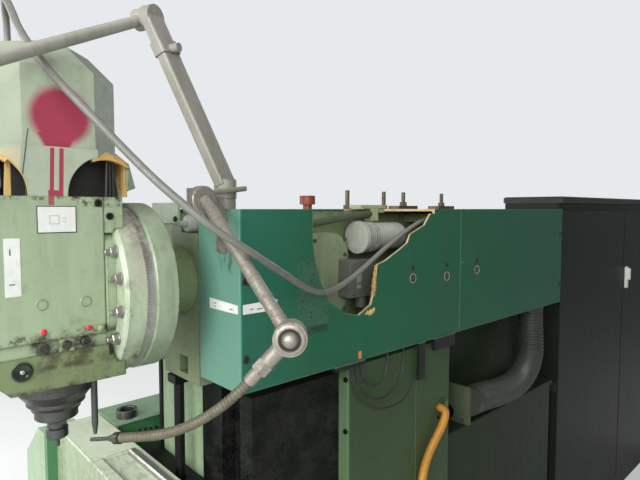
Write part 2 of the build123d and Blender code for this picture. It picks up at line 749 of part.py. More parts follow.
with BuildPart() as cross_slide:
    slab(-SLIDE_HALF, SLIDE_HALF, SLIDE_FRONT, KNEE_FRONT, SLIDE_BOTTOM, SLIDE_TOP)
    for index in range(SLIDE_SLOTS):
        face_slot(SLIDE_BOTTOM + SLIDE_SLOT_RISE + index * SLOT_PITCH)
save(cross_slide, "cross_slide")

# Sheet cover on the slide, recessed along its right part
with BuildPart() as slide_cover:
    slab(-SLIDE_HALF, SLIDE_HALF, SLIDE_FRONT, KNEE_FRONT, SLIDE_TOP, SLIDE_TOP + SLIDE_COVER)
    slab(RECESS_LEFT, SLIDE_HALF, SLIDE_FRONT + RECESS_FRONT, KNEE_FRONT - RECESS_REAR,
         SLIDE_TOP + RECESS_FLOOR, SLIDE_TOP + SLIDE_COVER, mode=Mode.SUBTRACT)
save(slide_cover, "slide_cover")

rail_rear = KNEE_FRONT - RECESS_REAR
with BuildPart() as scale_rail:
    slab(RECESS_LEFT + RAIL_START, SLIDE_HALF - RAIL_END, rail_rear - RAIL_WIDTH, rail_rear,
         SLIDE_TOP + RECESS_FLOOR, SLIDE_TOP + RECESS_FLOOR + RAIL_HEIGHT)
    chamfer(scale_rail.edges().filter_by(Axis.X).group_by(Axis.Z)[-1], length=RAIL_BEVEL)
save(scale_rail, "scale_rail")

end_left = -SLIDE_HALF - END_LENGTH
with BuildPart() as slide_end_housing:
    front_profile([
        (-SLIDE_HALF, END_BOTTOM), (-SLIDE_HALF, END_TOP), (-SLIDE_HALF - END_FLAT, END_TOP),
        (end_left, END_TOP - END_DROP), (end_left, END_BOTTOM),
    ], END_FRONT, END_REAR)
    chamfer(slide_end_housing.edges().filter_by(Axis.Z).group_by(Axis.Y)[0], length=SOFT_EDGE)
save(slide_end_housing, "slide_end_housing")

# Angle table bolted to the slide's face
table_bottom = TABLE_TOP - TABLE_THICK
table_foot = SLIDE_BOTTOM + TABLE_LIFT
back_face = SLIDE_FRONT - TABLE_BACK
rib_front = SLIDE_FRONT - TABLE_RIB_REACH
with BuildPart() as angle_table:
    side_profile([
        (SLIDE_FRONT, TABLE_TOP), (SLIDE_FRONT, table_foot), (back_face, table_foot),
        (back_face, table_bottom - TABLE_RIB_DROP), (rib_front, table_bottom),
        (TABLE_FRONT, table_bottom), (TABLE_FRONT, TABLE_TOP),
    ], -TABLE_HALF, TABLE_HALF)
    for start in (-TABLE_HALF + TABLE_RIB, TABLE_RIB):
        side_profile([
            (back_face, SLIDE_BOTTOM), (back_face, table_bottom - TABLE_LIFT),
            (rib_front - TABLE_LIFT / 2, table_bottom), (rib_front - TABLE_LIFT / 2, SLIDE_BOTTOM),
        ], start, start + TABLE_HALF - 2 * TABLE_RIB, mode=Mode.SUBTRACT)
    for index in range(TABLE_SLOTS):
        table_slot(TABLE_FRONT + (SLIDE_FRONT - TABLE_FRONT) * (index + 1) / (TABLE_SLOTS + 1))
save(angle_table, "angle_table")

# Ram casting: dovetail groove, hub, notch and pocket in front, and the carriers inside the right cover
cover_bottom = COVER_TOP - COVER_HEIGHT
ram_rear = RAM_FRONT + COVER_LENGTH
groove_top = way_base + DOVETAIL_RISE + RUN
way_tan = (DOVETAIL_HEAD - DOVETAIL_FOOT) / DOVETAIL_RISE
ram_bottom = way_base + RUN
hub_rear = SWIVEL_REAR + HUB_TAPER
with BuildPart() as ram_casting:
    slab(-RAM_HALF, RAM_HALF, RAM_FRONT, ram_rear, ram_bottom, RAM_TOP)
    front_profile([
        (-DOVETAIL_FOOT - RUN, ram_bottom), (DOVETAIL_FOOT + RUN, ram_bottom),
        (DOVETAIL_HEAD + RUN + way_tan * RUN, groove_top), (-DOVETAIL_HEAD - RUN - way_tan * RUN, groove_top),
    ], RAM_FRONT + GROOVE_START, ram_rear, mode=Mode.SUBTRACT)
    slab(NOTCH_FROM, RAM_HALF, RAM_FRONT, RAM_FRONT + TOP_PLATE_START, RAM_TOP - NOTCH_DROP, RAM_TOP,
         mode=Mode.SUBTRACT)
    slab(POCKET_FROM, POCKET_TO, RAM_FRONT, RAM_FRONT + POCKET_DEPTH,
         POCKET_LOW, POCKET_LOW + POCKET_HEIGHT, mode=Mode.SUBTRACT)
    disc_across_y(0, SWIVEL_Z, HUB_WAIST, hub_rear, RAM_FRONT)
    cone_between((0, SWIVEL_REAR, SWIVEL_Z), (0, hub_rear, SWIVEL_Z), HUB_RADIUS, HUB_WAIST)
    slab(RAM_HALF, COVER_FACE - COVER_WALL, TRUNK_Y - TRUNK_FLANGE_HALF, TRUNK_Y + TRUNK_FLANGE_HALF,
         cover_bottom, cover_bottom + TRUNK_FLANGE)
    slab(RAM_HALF, CLIP_REACH, CLIP_Y, CLIP_Y + CLIP_LENGTH, CLIP_LOW, CLIP_HIGH)
save(ram_casting, "ram_casting")

# Side covers: box shells of moulded fibreglass, the right one broken open near its middle
break_points = [
    (217, 431), (217, 343), (227, 287), (248, 227), (276, 178), (331, 142), (389, 128), (439, 152),
    (456, 206), (464, 262), (499, 271), (563, 299), (601, 318), (616, 344), (687, 370), (741, 431),
]
break_plan = [
    (BREAK_INNER, 218), (COVER_FACE + 1, 217), (COVER_FACE + 1, 741), (225, 712), (168, 655), (BREAK_INNER, 640),
]


def cover_shell(cover, side):
    side_slab(side, COVER_INNER, COVER_FACE, RAM_FRONT, ram_rear, cover_bottom, COVER_TOP)
    fillet(cover.edges().filter_by(Axis.Z), radius=SOFT_EDGE)
    side_slab(side, COVER_INNER, COVER_FACE - COVER_WALL, RAM_FRONT + COVER_WALL, ram_rear - COVER_WALL,
              cover_bottom, COVER_TOP - COVER_WALL, mode=Mode.SUBTRACT)
    side_slab(side, COVER_FACE - SEAM_CUT, COVER_FACE, RAM_FRONT + COVER_SEAM, RAM_FRONT + COVER_SEAM + SEAM_CUT,
              cover_bottom, COVER_TOP, mode=Mode.SUBTRACT)


with BuildPart() as ram_left_cover:
    cover_shell(ram_left_cover, -1)
save(ram_left_cover, "ram_left_cover")

with BuildPart() as ram_right_cover:
    cover_shell(ram_right_cover, 1)
    side_profile([(RAM_FRONT + y, cover_bottom + z) for y, z in break_points],
                 COVER_FACE - 2 * COVER_WALL, COVER_FACE + 1, mode=Mode.SUBTRACT)
    plan_profile([(x, RAM_FRONT + y) for x, y in break_plan],
                 COVER_TOP - 2 * COVER_WALL, COVER_TOP + 1, mode=Mode.SUBTRACT)
    for strip_from, strip_to, drop in STRIPS:
        slab(STRIP_INNER, STRIP_OUTER, strip_from, strip_to, cover_bottom - drop, cover_bottom)
save(ram_right_cover, "ram_right_cover")

with BuildPart() as ram_top_plate:
    slab(-COVER_INNER, COVER_INNER, RAM_FRONT + TOP_PLATE_START, ram_rear, RAM_TOP, COVER_TOP)
save(ram_top_plate, "ram_top_plate")


# Swivel joint, from the ram forward to the head
def swivel_ring(radius, y_rear, y_front, bevel, name):
    with BuildPart() as ring:
        disc_across_y(0, SWIVEL_Z, radius, y_front, y_rear)
        chamfer(ring.edges().filter_by(GeomType.CIRCLE).group_by(Axis.Y)[0], length=bevel)
    save(ring, name)


swivel_ring(DISC_RADIUS, SWIVEL_REAR, SCALE_REAR, DISC_BEVEL, "swivel_disc")
swivel_ring(SCALE_RADIUS, SCALE_REAR, CLAMP_REAR, DISC_BEVEL, "swivel_scale")
swivel_ring(DISC_RADIUS, CLAMP_REAR, CLAMP_FRONT, CLAMP_BEVEL, "clamp_flange")

# Neck of the head, with a square lug on each side over the flange's rim
with BuildPart() as head_neck:
    front_profile([
        (-NECK_FOOT, LOWER_TOP), (NECK_FOOT, LOWER_TOP), (NECK_HALF, LOWER_TOP + NECK_SLOPE),
        (NECK_HALF, NECK_TOP - NECK_SHOULDER), (NECK_HALF - NECK_SHOULDER, NECK_TOP),
        (-NECK_HALF + NECK_SHOULDER, NECK_TOP), (-NECK_HALF, NECK_TOP - NECK_SHOULDER),
        (-NECK_HALF, LOWER_TOP + NECK_SLOPE),
    ], HEAD_REAR, CLAMP_FRONT)
    for side in (-1, 1):
        side_slab(side, EAR_INNER, EAR_OUTER, HEAD_REAR, EAR_REAR, EAR_LOW, HEAD_TOP)
    disc_across_y(0, SWIVEL_Z, DISC_RADIUS + RUN, CLAMP_FRONT, CLAMP_REAR, mode=Mode.SUBTRACT)
save(head_neck, "head_neck")

# Head body, with its bevelled front and the row of ports in its waist
waist_face = HEAD_HALF - HEAD_WAIST
with BuildPart() as head_body:
    side_profile([
        (HEAD_REAR, HEAD_BOTTOM), (HEAD_REAR, HEAD_TOP), (HEAD_FRONT + HEAD_BEVEL, HEAD_TOP),
        (HEAD_FRONT, HEAD_TOP - HEAD_BEVEL), (HEAD_FRONT, HEAD_BOTTOM + HEAD_FOOT_BEVEL),
        (HEAD_FRONT + HEAD_FOOT_BEVEL, HEAD_BOTTOM),
    ], -HEAD_HALF, HEAD_HALF)
    fillet(head_body.edges().filter_by(Axis.Z), radius=SOFT_EDGE)
    slab(-waist_face, waist_face, HEAD_FRONT + WAIST_START, HEAD_REAR, LOWER_TOP, HEAD_BOTTOM)
    disc_across_x(BOSS_Y, WAIST_Z, BOSS_RADIUS, waist_face, waist_face + BOSS_RISE)
    slab(waist_face, waist_face + BLOCK_RISE, BLOCK_Y - BLOCK_HALF, BLOCK_Y + BLOCK_HALF, LOWER_TOP, HEAD_BOTTOM)
    disc_across_x(BLOCK_Y, WAIST_Z, BLOCK_BORE, waist_face, waist_face + BLOCK_RISE, mode=Mode.SUBTRACT)
    disc_across_x(PORT_Y, WAIST_Z, PORT_RADIUS, waist_face - PORT_DEPTH, waist_face, mode=Mode.SUBTRACT)
save(head_body, "head_body")

# Lower housing: a narrower front half, a proud rear half, a sight glass ring and a bolt niche
front_half = HEAD_HALF - LOWER_STEP
with BuildPart() as lower_housing:
    side_profile([
        (LOWER_SEAM, LOWER_BOTTOM), (LOWER_SEAM, LOWER_TOP), (HEAD_FRONT + LOWER_START, LOWER_TOP),
        (HEAD_FRONT + LOWER_START, LOWER_BOTTOM + LOWER_BEVEL_RISE),
        (HEAD_FRONT + LOWER_START + LOWER_BEVEL, LOWER_BOTTOM),
    ], -front_half, front_half)
    slab(-HEAD_HALF, HEAD_HALF, LOWER_SEAM, LOWER_REAR, LOWER_BOTTOM, LOWER_TOP)
    fillet(lower_housing.edges().filter_by(Axis.Z).group_by(Axis.Y)[-1], radius=SOFT_EDGE)
    slab(HEAD_HALF - NICHE_DEPTH, HEAD_HALF, NICHE_FROM, NICHE_TO, NICHE_LOW, LOWER_TOP, mode=Mode.SUBTRACT)
    disc_across_x(GLASS_Y, GLASS_Z, GLASS_RADIUS, front_half, front_half + GLASS_RISE)
    disc_across_x(GLASS_Y, GLASS_Z, GLASS_BORE, front_half, front_half + GLASS_RISE, mode=Mode.SUBTRACT)
    disc_across_y(0, SWIVEL_Z, DISC_RADIUS + RUN, CLAMP_FRONT, CLAMP_REAR, mode=Mode.SUBTRACT)
save(lower_housing, "lower_housing")


# Motor cover: a shell with flared skirt, straight walls, bevelled roof and archways at its corners
def shell_stage(grow, z):
    front = SHELL_FRONT - grow
    rear = SHELL_REAR + grow
    half = SHELL_HALF + grow
    corner = SHELL_CORNER
    with BuildSketch(Plane.XY.offset(z), mode=Mode.PRIVATE) as stage:
        with BuildLine():
            Polyline(
                (-half + corner, rear), (-half, rear - corner), (-half, front + corner), (-half + corner, front),
                (half - corner, front), (half, front + corner), (half, rear - corner), (half - corner, rear),
                close=True)
        make_face()
    return stage.sketch


inner_edge = SHELL_EDGE - SHELL_WALL
inner_roof = SHELL_ROOF - SHELL_WALL
with BuildPart() as motor_cover:
    loft([shell_stage(SHELL_FLARE, HEAD_TOP), shell_stage(SHELL_STEP, SHELL_WAIST)])
    loft([shell_stage(0, SHELL_WAIST), shell_stage(0, SHELL_EDGE)])
    loft([shell_stage(0, SHELL_EDGE), shell_stage(-SHELL_BEVEL, SHELL_ROOF)])
    loft([shell_stage(SHELL_FLARE - SHELL_WALL, HEAD_TOP), shell_stage(-SHELL_WALL, SHELL_WAIST)], mode=Mode.SUBTRACT)
    loft([shell_stage(-SHELL_WALL, SHELL_WAIST), shell_stage(-SHELL_WALL, inner_edge)], mode=Mode.SUBTRACT)
    loft([shell_stage(-SHELL_WALL, inner_edge), shell_stage(-SHELL_BEVEL - SHELL_WALL, inner_roof)], mode=Mode.SUBTRACT)
    for arch_y, arch_width, arch_height in ARCHWAYS:
        for side in (-1, 1):
            with BuildSketch(Plane.YZ.offset(side * ARCHWAY_INNER)) as archway:
                with Locations((arch_y, HEAD_TOP)):
                    Ellipse(arch_width, arch_height)
            extrude(amount=side * (SHELL_HALF + SHELL_FLARE - ARCHWAY_INNER), mode=Mode.SUBTRACT)
save(motor_cover, "motor_cover")

head_motor_y = (SHELL_FRONT + SHELL_REAR) / 2
with BuildPart() as head_motor:
    rod_between((0, head_motor_y, HEAD_TOP), (0, head_motor_y, HEAD_TOP + HEAD_MOTOR_HEIGHT), HEAD_MOTOR_RADIUS)
    with Locations((0, head_motor_y, HEAD_TOP + FIN_BASE)):
        with PolarLocations(HEAD_MOTOR_RADIUS, HEAD_MOTOR_FINS):
            Box(2 * FIN_DEPTH, FIN_THICK, FIN_HEIGHT, align=(Align.CENTER, Align.CENTER, Align.MIN))
save(head_motor, "head_motor")

# Bearing cap and spindle
with BuildPart() as bearing_cap:
    turned([
        (0, LOWER_BOTTOM), (CAP_RADIUS, LOWER_BOTTOM), (CAP_RADIUS, CAP_LOW), (CONE_RADIUS, CONE_LOW),
        (CONE_RADIUS, CONE_STEP), (RING_RADIUS, RING_LOW), (RING_RADIUS, CAP_BOTTOM), (0, CAP_BOTTOM),
    ], 0, SPINDLE_Y)
save(bearing_cap, "bearing_cap")

nose_top = CAP_BOTTOM - RUN
taper_end = NOSE_BOTTOM + TAPER_SHOWN
with BuildPart() as spindle_nose:
    turned([
        (0, nose_top), (NOSE_RADIUS, nose_top), (NOSE_RADIUS, NOSE_BOTTOM + NOSE_BEVEL),
        (NOSE_RADIUS - NOSE_BEVEL, NOSE_BOTTOM), (TAPER_MOUTH, NOSE_BOTTOM), (TAPER_TOP, taper_end), (0, taper_end),
    ], 0, SPINDLE_Y)
    for side in (-1, 1):
        side_slab(side, KEY_X - KEY_HALF, KEY_X + KEY_HALF, SPINDLE_Y - KEY_HALF, SPINDLE_Y + KEY_HALF,
                  NOSE_BOTTOM - KEY_DROP, NOSE_BOTTOM)
save(spindle_nose, "spindle_nose")

with BuildPart() as tool_holder:
    turned([
        (0, taper_end), (TAPER_TOP, taper_end), (TAPER_MOUTH, NOSE_BOTTOM),
        (TAPER_MOUTH, NOSE_BOTTOM - COLLAR_RISE), (HOLDER_NECK, NOSE_BOTTOM - NECK_DROP), (HOLDER_NECK, NUT_TOP),
        (NUT_RADIUS, NUT_TOP - NOSE_BEVEL), (NUT_RADIUS, NUT_BOTTOM + NOSE_BEVEL),
        (NUT_RADIUS - NOSE_BEVEL, NUT_BOTTOM), (0, NUT_BOTTOM),
    ], 0, SPINDLE_Y)
    rod_between((0, SPINDLE_Y, MILL_TIP), (0, SPINDLE_Y, NUT_BOTTOM), MILL_RADIUS)
save(tool_holder, "tool_holder")

with BuildPart() as coolant_rod:
    turned([
        (0, LOWER_BOTTOM), (ROD_RADIUS, LOWER_BOTTOM), (ROD_RADIUS, ROD_TIP + ROD_TAPER), (ROD_POINT, ROD_TIP),
        (0, ROD_TIP),
    ], ROD_X, ROD_Y)
save(coolant_rod, "coolant_rod")

# Gear housing behind the break: a plate casting with round corners
gear_middle = (RAM_FRONT + (GEAR_FROM + GEAR_TO) / 2, (GEAR_LOW + GEAR_HIGH) / 2)
with BuildPart() as gear_housing:
    with BuildSketch(Plane.YZ.offset(RAM_HALF)):
        with Locations(gear_middle):
            RectangleRounded(GEAR_TO - GEAR_FROM, GEAR_HIGH - GEAR_LOW, GEAR_CORNER)
    extrude(amount=GEAR_FACE - RAM_HALF)
    fillet(gear_housing.edges().group_by(Axis.X)[-1], radius=GEAR_EDGE)
save(gear_housing, "gear_housing")

# Feed motor: flange, rings, plain barrel and domed end, on a pad from the ram
motor_from = RAM_FRONT + MOTOR_START
motor_pad_from = motor_from + MOTOR_LENGTH / 3
with BuildPart() as feed_motor:
    disc_across_y(MOTOR_X, MOTOR_Z, MOTOR_RADIUS, motor_from, motor_from + MOTOR_LENGTH)
    fillet(feed_motor.edges().filter_by(GeomType.CIRCLE).group_by(Axis.Y)[-1], radius=MOTOR_DOME)
    disc_across_y(MOTOR_X, MOTOR_Z, MOTOR_FLANGE, motor_from, motor_from + MOTOR_FLANGE_LENGTH)
    for index in range(MOTOR_RINGS):
        ring_from = motor_from + MOTOR_FLANGE_LENGTH + (2 * index + 1) * MOTOR_RING_LENGTH
        disc_across_y(MOTOR_X, MOTOR_Z, MOTOR_RING, ring_from, ring_from + MOTOR_RING_LENGTH)
    slab(RAM_HALF, MOTOR_X, motor_pad_from, motor_pad_from + MOTOR_LENGTH / 3,
         MOTOR_Z - MOTOR_PAD / 2, MOTOR_Z + MOTOR_PAD / 2)
save(feed_motor, "feed_motor")

gland_x = TERMINAL_FACE - TERMINAL_ROUND - GLAND_RADIUS
gland_y = RAM_FRONT + (TERMINAL_FROM + TERMINAL_TO) / 2 + GLAND_RADIUS
with BuildPart() as terminal_box:
    slab(GEAR_FACE, TERMINAL_FACE, RAM_FRONT + TERMINAL_FROM, RAM_FRONT + TERMINAL_TO, TERMINAL_LOW, TERMINAL_HIGH)
    slab(RAM_HALF, GEAR_FACE, RAM_FRONT + GEAR_TO + CLEAR, RAM_FRONT + TERMINAL_TO, TERMINAL_LOW, TERMINAL_HIGH)
    fillet(terminal_box.edges().filter_by(Axis.X).group_by(Axis.Y)[-1], radius=TERMINAL_ROUND)
    rod_between((gland_x, gland_y, TERMINAL_LOW - GLAND_DROP), (gland_x, gland_y, TERMINAL_LOW), GLAND_RADIUS)
save(terminal_box, "terminal_box")

# Clamp studs, the rear ones on pads, and the oil filler on the ram's top
with BuildPart() as lifting_studs:
    for index, offset in enumerate(STUD_OFFSETS):
        row = RAM_FRONT + offset
        lift = PAD_HEIGHT if index >= len(STUD_OFFSETS) - STUD_PADS else 0
        if lift:
            slab(STUD_X - PAD_WIDTH / 2, STUD_X + PAD_WIDTH / 2, row - PAD_LENGTH / 2, row + PAD_LENGTH / 2,
                 COVER_TOP, COVER_TOP + lift)
        rod_between((STUD_X, row, COVER_TOP), (STUD_X, row, COVER_TOP + STUD_HEIGHT), STUD_RADIUS)
        with BuildSketch(Plane.XY.offset(COVER_TOP + lift)):
            with Locations((STUD_X, row)):
                RegularPolygon(STUD_NUT, 6)
        extrude(amount=STUD_NUT)
save(lifting_studs, "lifting_studs")

filler_shoulder = COVER_TOP + FILLER_NECK_HEIGHT
filler_top = filler_shoulder + FILLER_CAP_HEIGHT
with BuildPart() as oil_filler:
    turned([
        (0, COVER_TOP), (FILLER_NECK, COVER_TOP), (FILLER_NECK, filler_shoulder), (FILLER_CAP, filler_shoulder),
        (FILLER_CAP, filler_top), (0, filler_top),
    ], STUD_X, RAM_FRONT + FILLER_OFFSET)
save(oil_filler, "oil_filler")

# Lamp arm on the ram's front corner
lamp_pivot = Vector(LAMP_X, RAM_FRONT + LAMP_OFFSET, COVER_TOP)
elbow = lamp_pivot + Vector(*LAMP_SPAN)
boom_axis = Vector(*BOOM_HEADING).normalized()
elbow_axis = boom_axis.cross(Vector(0, 0, 1)).normalized()
with BuildPart() as lamp_base:
    rod_between(lamp_pivot, lamp_pivot + Vector(0, 0, LAMP_FOOT), LAMP_FOOT_RADIUS)
save(lamp_base, "lamp_base")

hub_low = lamp_pivot + Vector(0, 0, LAMP_FOOT + RUN)
arm_low = hub_low + Vector(0, 0, LAMP_ARM_RISE)
arm_run = elbow - arm_low
arm_axis = arm_run.normalized()
arm_side = elbow_axis.cross(arm_axis).normalized()
collar_top = elbow - arm_axis * COLLAR_DROP
knob_base = collar_top - arm_axis * COLLAR_LENGTH / 2
with BuildPart() as lamp_arm:
    rod_between(hub_low, hub_low + Vector(0, 0, LAMP_HUB_HEIGHT), LAMP_HUB_RADIUS)
    with BuildSketch(Plane(origin=arm_low, x_dir=arm_side, z_dir=arm_axis)):
        RectangleRounded(ARM_WIDTH, ARM_THICK, ARM_ROUND)
    extrude(amount=arm_run.length)
    rod_between(elbow - elbow_axis * ARM_THICK / 2, elbow + elbow_axis * ARM_THICK / 2, ARM_WIDTH / 2)
    with BuildSketch(Plane(origin=collar_top, x_dir=arm_side, z_dir=-arm_axis)):
        RectangleRounded(ARM_WIDTH + COLLAR_GROW, ARM_THICK + COLLAR_GROW, ARM_ROUND)
    extrude(amount=COLLAR_LENGTH)
    rod_between(knob_base, knob_base - elbow_axis * (ARM_THICK / 2 + KNOB_REACH), KNOB_RADIUS)
save(lamp_arm, "lamp_arm")

boom_root = elbow + elbow_axis * (ARM_THICK / 2 + RUN)
boom_start = boom_root + elbow_axis * KNUCKLE / 2
boom_end = boom_start + boom_axis * BOOM_LENGTH
with BuildPart() as lamp_boom:
    rod_between(boom_root, boom_root + elbow_axis * KNUCKLE, KNUCKLE_RADIUS)
    rod_between(boom_start, boom_end, BOOM_RADIUS)
    cone_between(boom_end, boom_end + boom_axis * LAMP_DEPTH, LAMP_NECK, LAMP_MOUTH)
save(lamp_boom, "lamp_boom")

# Coolant arm
joint_y = RAM_FRONT - JOINT_REACH
joint_face = BRACKET_TO + JOINT_THICK
pipe_root = Vector(joint_face, joint_y, JOINT_Z)
joint_two = pipe_root + Vector(*PIPE_SPAN)
with BuildPart() as coolant_bracket:
    slab(BRACKET_FROM, BRACKET_TO, RAM_FRONT - BRACKET_FOOT, RAM_FRONT, BRACKET_LOW, BRACKET_HIGH)
    side_profile([
        (RAM_FRONT, BRACKET_LOW), (RAM_FRONT, BRACKET_HIGH), (joint_y + JOINT_RADIUS, JOINT_Z + BRACKET_RISE),
        (joint_y - BRACKET_RISE, JOINT_Z + BRACKET_RISE), (joint_y - BRACKET_RISE, JOINT_Z - BRACKET_RISE),
        (joint_y + BRACKET_RISE / 2, JOINT_Z - BRACKET_RISE),
    ], BRACKET_TO - BRACKET_WEB, BRACKET_TO)
save(coolant_bracket, "coolant_bracket")

with BuildPart() as coolant_joint:
    disc_across_x(joint_y, JOINT_Z, JOINT_RADIUS, BRACKET_TO, joint_face)
    fillet(coolant_joint.edges().filter_by(GeomType.CIRCLE), radius=JOINT_ROUND)
    rod_between(LEVER_START, LEVER_TIP, LEVER_ROD)
save(coolant_joint, "coolant_joint")

gooseneck_route = [
    (492, -626, 1445), (469.4, -643.3, 1414.1), (424, -668, 1373), (372, -689, 1340), (318, -710, 1316),
    (266, -730, 1301), (216, -749, 1288),
]
towards = Vector(math.cos(math.radians(PIPE_TURN)), math.sin(math.radians(PIPE_TURN)), 0)
neck_start = Vector(*gooseneck_route[0])
spigot = neck_start - joint_two
nut_from, nut_to = (joint_two + spigot * share for share in FITTING_SHARES)
with BuildPart() as coolant_pipe:
    rod_between(pipe_root, joint_two, PIPE_RADIUS)
    slab(BRACKET_TO, joint_face, joint_y - JOINT_RADIUS, joint_y + JOINT_RADIUS,
         JOINT_Z - JOINT_RADIUS, JOINT_Z + JOINT_RADIUS, mode=Mode.SUBTRACT)
    rod_between(joint_two - towards * PIPE_JOINT_THICK / 2, joint_two + towards * PIPE_JOINT_THICK / 2, JOINT_RADIUS)
    rod_between(joint_two, nut_from, FITTING_RADIUS)
    with BuildSketch(Plane(origin=nut_from, z_dir=spigot)):
        RegularPolygon(FITTING_NUT, 6)
    extrude(amount=(nut_to - nut_from).length)
    rod_between(nut_to, neck_start, FITTING_END)
save(coolant_pipe, "coolant_pipe")
tube_along(gooseneck_route, HOSE_RADIUS, "gooseneck")

neck_end = Vector(*gooseneck_route[-1])
neck_axis = (neck_end - Vector(*gooseneck_route[-2])).normalized()
cone_start = neck_end + neck_axis * NOZZLE_COLLAR
cone_end = neck_end + neck_axis * NOZZLE_CONE
with BuildPart() as coolant_nozzle:
    rod_between(neck_end, cone_start, HOSE_RADIUS + NOZZLE_GROW)
    cone_between(cone_start, cone_end, HOSE_RADIUS, NOZZLE_SMALL)
    rod_between(cone_end, neck_end + neck_axis * NOZZLE_LENGTH, NOZZLE_TIP)
save(coolant_nozzle, "coolant_nozzle")

# Cable conduit from the ram's inside to the head's motor
head_conduit_route = [
    (236, 322, 1719), (236, 255, 1719), (238, 185, 1697), (240, 110, 1664), (244, 30, 1628), (252, -45, 1592),
    (264, -125, 1560), (284, -205, 1541), (314, -285, 1541), (350, -370, 1568), (384, -445, 1604),
    (410, -520, 1640), (421, -585, 1676), (415, -645, 1712), (390, -690, 1755), (350, -728, 1802),
    (300, -762, 1858), (243, -796, 1920), (192, -832, 1980), (146, -860, 2036), (100, -880, 2094),
    (60, -884, 2145), (12, -882, 2178), (-40, -874, 2186), (-80, -862, 2155), (-80, -862, 2098),
]
tube_along(head_conduit_route, CORD_RADIUS, "head_conduit")

with BuildPart() as conduit_gland:
    rod_between((GLAND_X, GLAND_Y, SHELL_ROOF), (GLAND_X, GLAND_Y, SHELL_ROOF + CORD_GLAND_HEIGHT), CORD_GLAND)
save(conduit_gland, "conduit_gland")

# Corrugated conduit between the ram and its bracket on the rear housing
trunk_route = [
    (214, 1076, 1330), (214, 1076, 1262), (222, 1070, 1190), (234, 1048, 1120), (244, 980, 1060),
    (250, 890, 1028), (250, 780, 1022), (250, 660, 1034), (250, 580, 1044), (250, 509, 1044),
]
tube_along(trunk_route, TRUNK_RADIUS, "corrugated_conduit")

seat_rear = SEAT_Y + TRUNK_FLANGE
with BuildPart() as conduit_bracket:
    slab(SEAT_FROM, SEAT_TO, SEAT_Y, seat_rear, REAR_TOP, SEAT_TOP)
    disc_across_y(SEAT_ARCH_X, SEAT_ARCH_Z, SEAT_ARCH, SEAT_Y, seat_rear, mode=Mode.SUBTRACT)
    chamfer(conduit_bracket.edges().filter_by(Axis.Y).group_by(Axis.Z)[-1], length=SOFT_EDGE)
save(conduit_bracket, "conduit_bracket")

# Thin cable loops under the right cover's edge
loop_one_route = [
    (278, -100, 1318), (278, -100, 1292), (280, -85, 1266), (281, -57, 1245), (281, -26, 1244), (280, -2, 1262),
    (279, 11, 1288), (277, 15, 1310), (277, 15, 1330),
]
loop_two_route = [
    (278, -122, 1318), (278, -122, 1290), (281, -108, 1258), (283, -82, 1226), (284, -45, 1204), (284, 0, 1200),
    (283, 40, 1214), (282, 70, 1242), (280, 86, 1275), (277, 91, 1305), (277, 91, 1330),
]
loop_three_route = [
    (278, -147, 1318), (278, -147, 1286), (282, -130, 1248), (285, -104, 1216), (286, -65, 1186), (286, -20, 1170),
    (286, 35, 1165), (285, 85, 1172), (282, 120, 1192), (278, 144, 1222), (278, 163, 1222),
]
tube_along(loop_one_route, LOOP_RADIUS, "cable_loop_1")
tube_along(loop_two_route, LOOP_RADIUS, "cable_loop_2")
tube_along(loop_three_route, LOOP_RADIUS, "cable_loop_3")

# Amber conduit from the column's cable outlet down to the base
amber_route = [
    (254, 316, 1077), (276, 316, 1077), (288, 308, 1066), (288, 292, 1036), (286, 260, 1002), (284, 222, 962),
    (283, 194, 914), (283, 180, 860), (283, 174, 780), (283, 176, 680), (283, 186, 560), (283, 202, 440),
    (283, 216, 330), (283, 222, 270), (283, 222, 170),
]
tube_along(amber_route, AMBER_RADIUS, "amber_conduit")
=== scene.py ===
import bpy
import bmesh
import math
import numpy as np
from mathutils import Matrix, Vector


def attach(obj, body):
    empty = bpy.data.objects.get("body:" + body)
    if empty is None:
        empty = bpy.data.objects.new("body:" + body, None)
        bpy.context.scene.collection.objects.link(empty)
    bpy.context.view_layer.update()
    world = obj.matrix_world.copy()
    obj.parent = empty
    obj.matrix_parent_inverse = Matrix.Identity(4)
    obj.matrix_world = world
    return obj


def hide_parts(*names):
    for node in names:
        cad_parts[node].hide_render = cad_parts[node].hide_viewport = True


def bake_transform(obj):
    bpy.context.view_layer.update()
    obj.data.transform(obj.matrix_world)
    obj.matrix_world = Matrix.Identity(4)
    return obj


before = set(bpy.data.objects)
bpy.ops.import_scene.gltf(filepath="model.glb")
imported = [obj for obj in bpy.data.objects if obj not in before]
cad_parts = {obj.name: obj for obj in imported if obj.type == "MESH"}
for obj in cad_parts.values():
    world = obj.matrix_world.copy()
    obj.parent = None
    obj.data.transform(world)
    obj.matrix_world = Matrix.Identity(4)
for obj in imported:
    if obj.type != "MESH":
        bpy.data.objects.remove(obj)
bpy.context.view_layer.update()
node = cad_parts
print("frame loaded")


# Camera at the photograph's viewing angle
view = dict(place=(1.231, -1.139, 1.75), azimuth=47.2, pitch=-3.46, lens=28.8, sensor=36.0, near=0.02)
cameraData = bpy.data.cameras.new("camera")
cameraData.lens = view["lens"]
cameraData.sensor_width = view["sensor"]
cameraData.clip_start = view["near"]
camera = bpy.data.objects.new("camera", cameraData)
camera.location = view["place"]
camera.rotation_euler = (math.radians(90 + view["pitch"]), 0, math.radians(view["azimuth"]))
bpy.context.scene.collection.objects.link(camera)
bpy.context.scene.camera = camera
bpy.context.scene.view_settings.view_transform = "Standard"


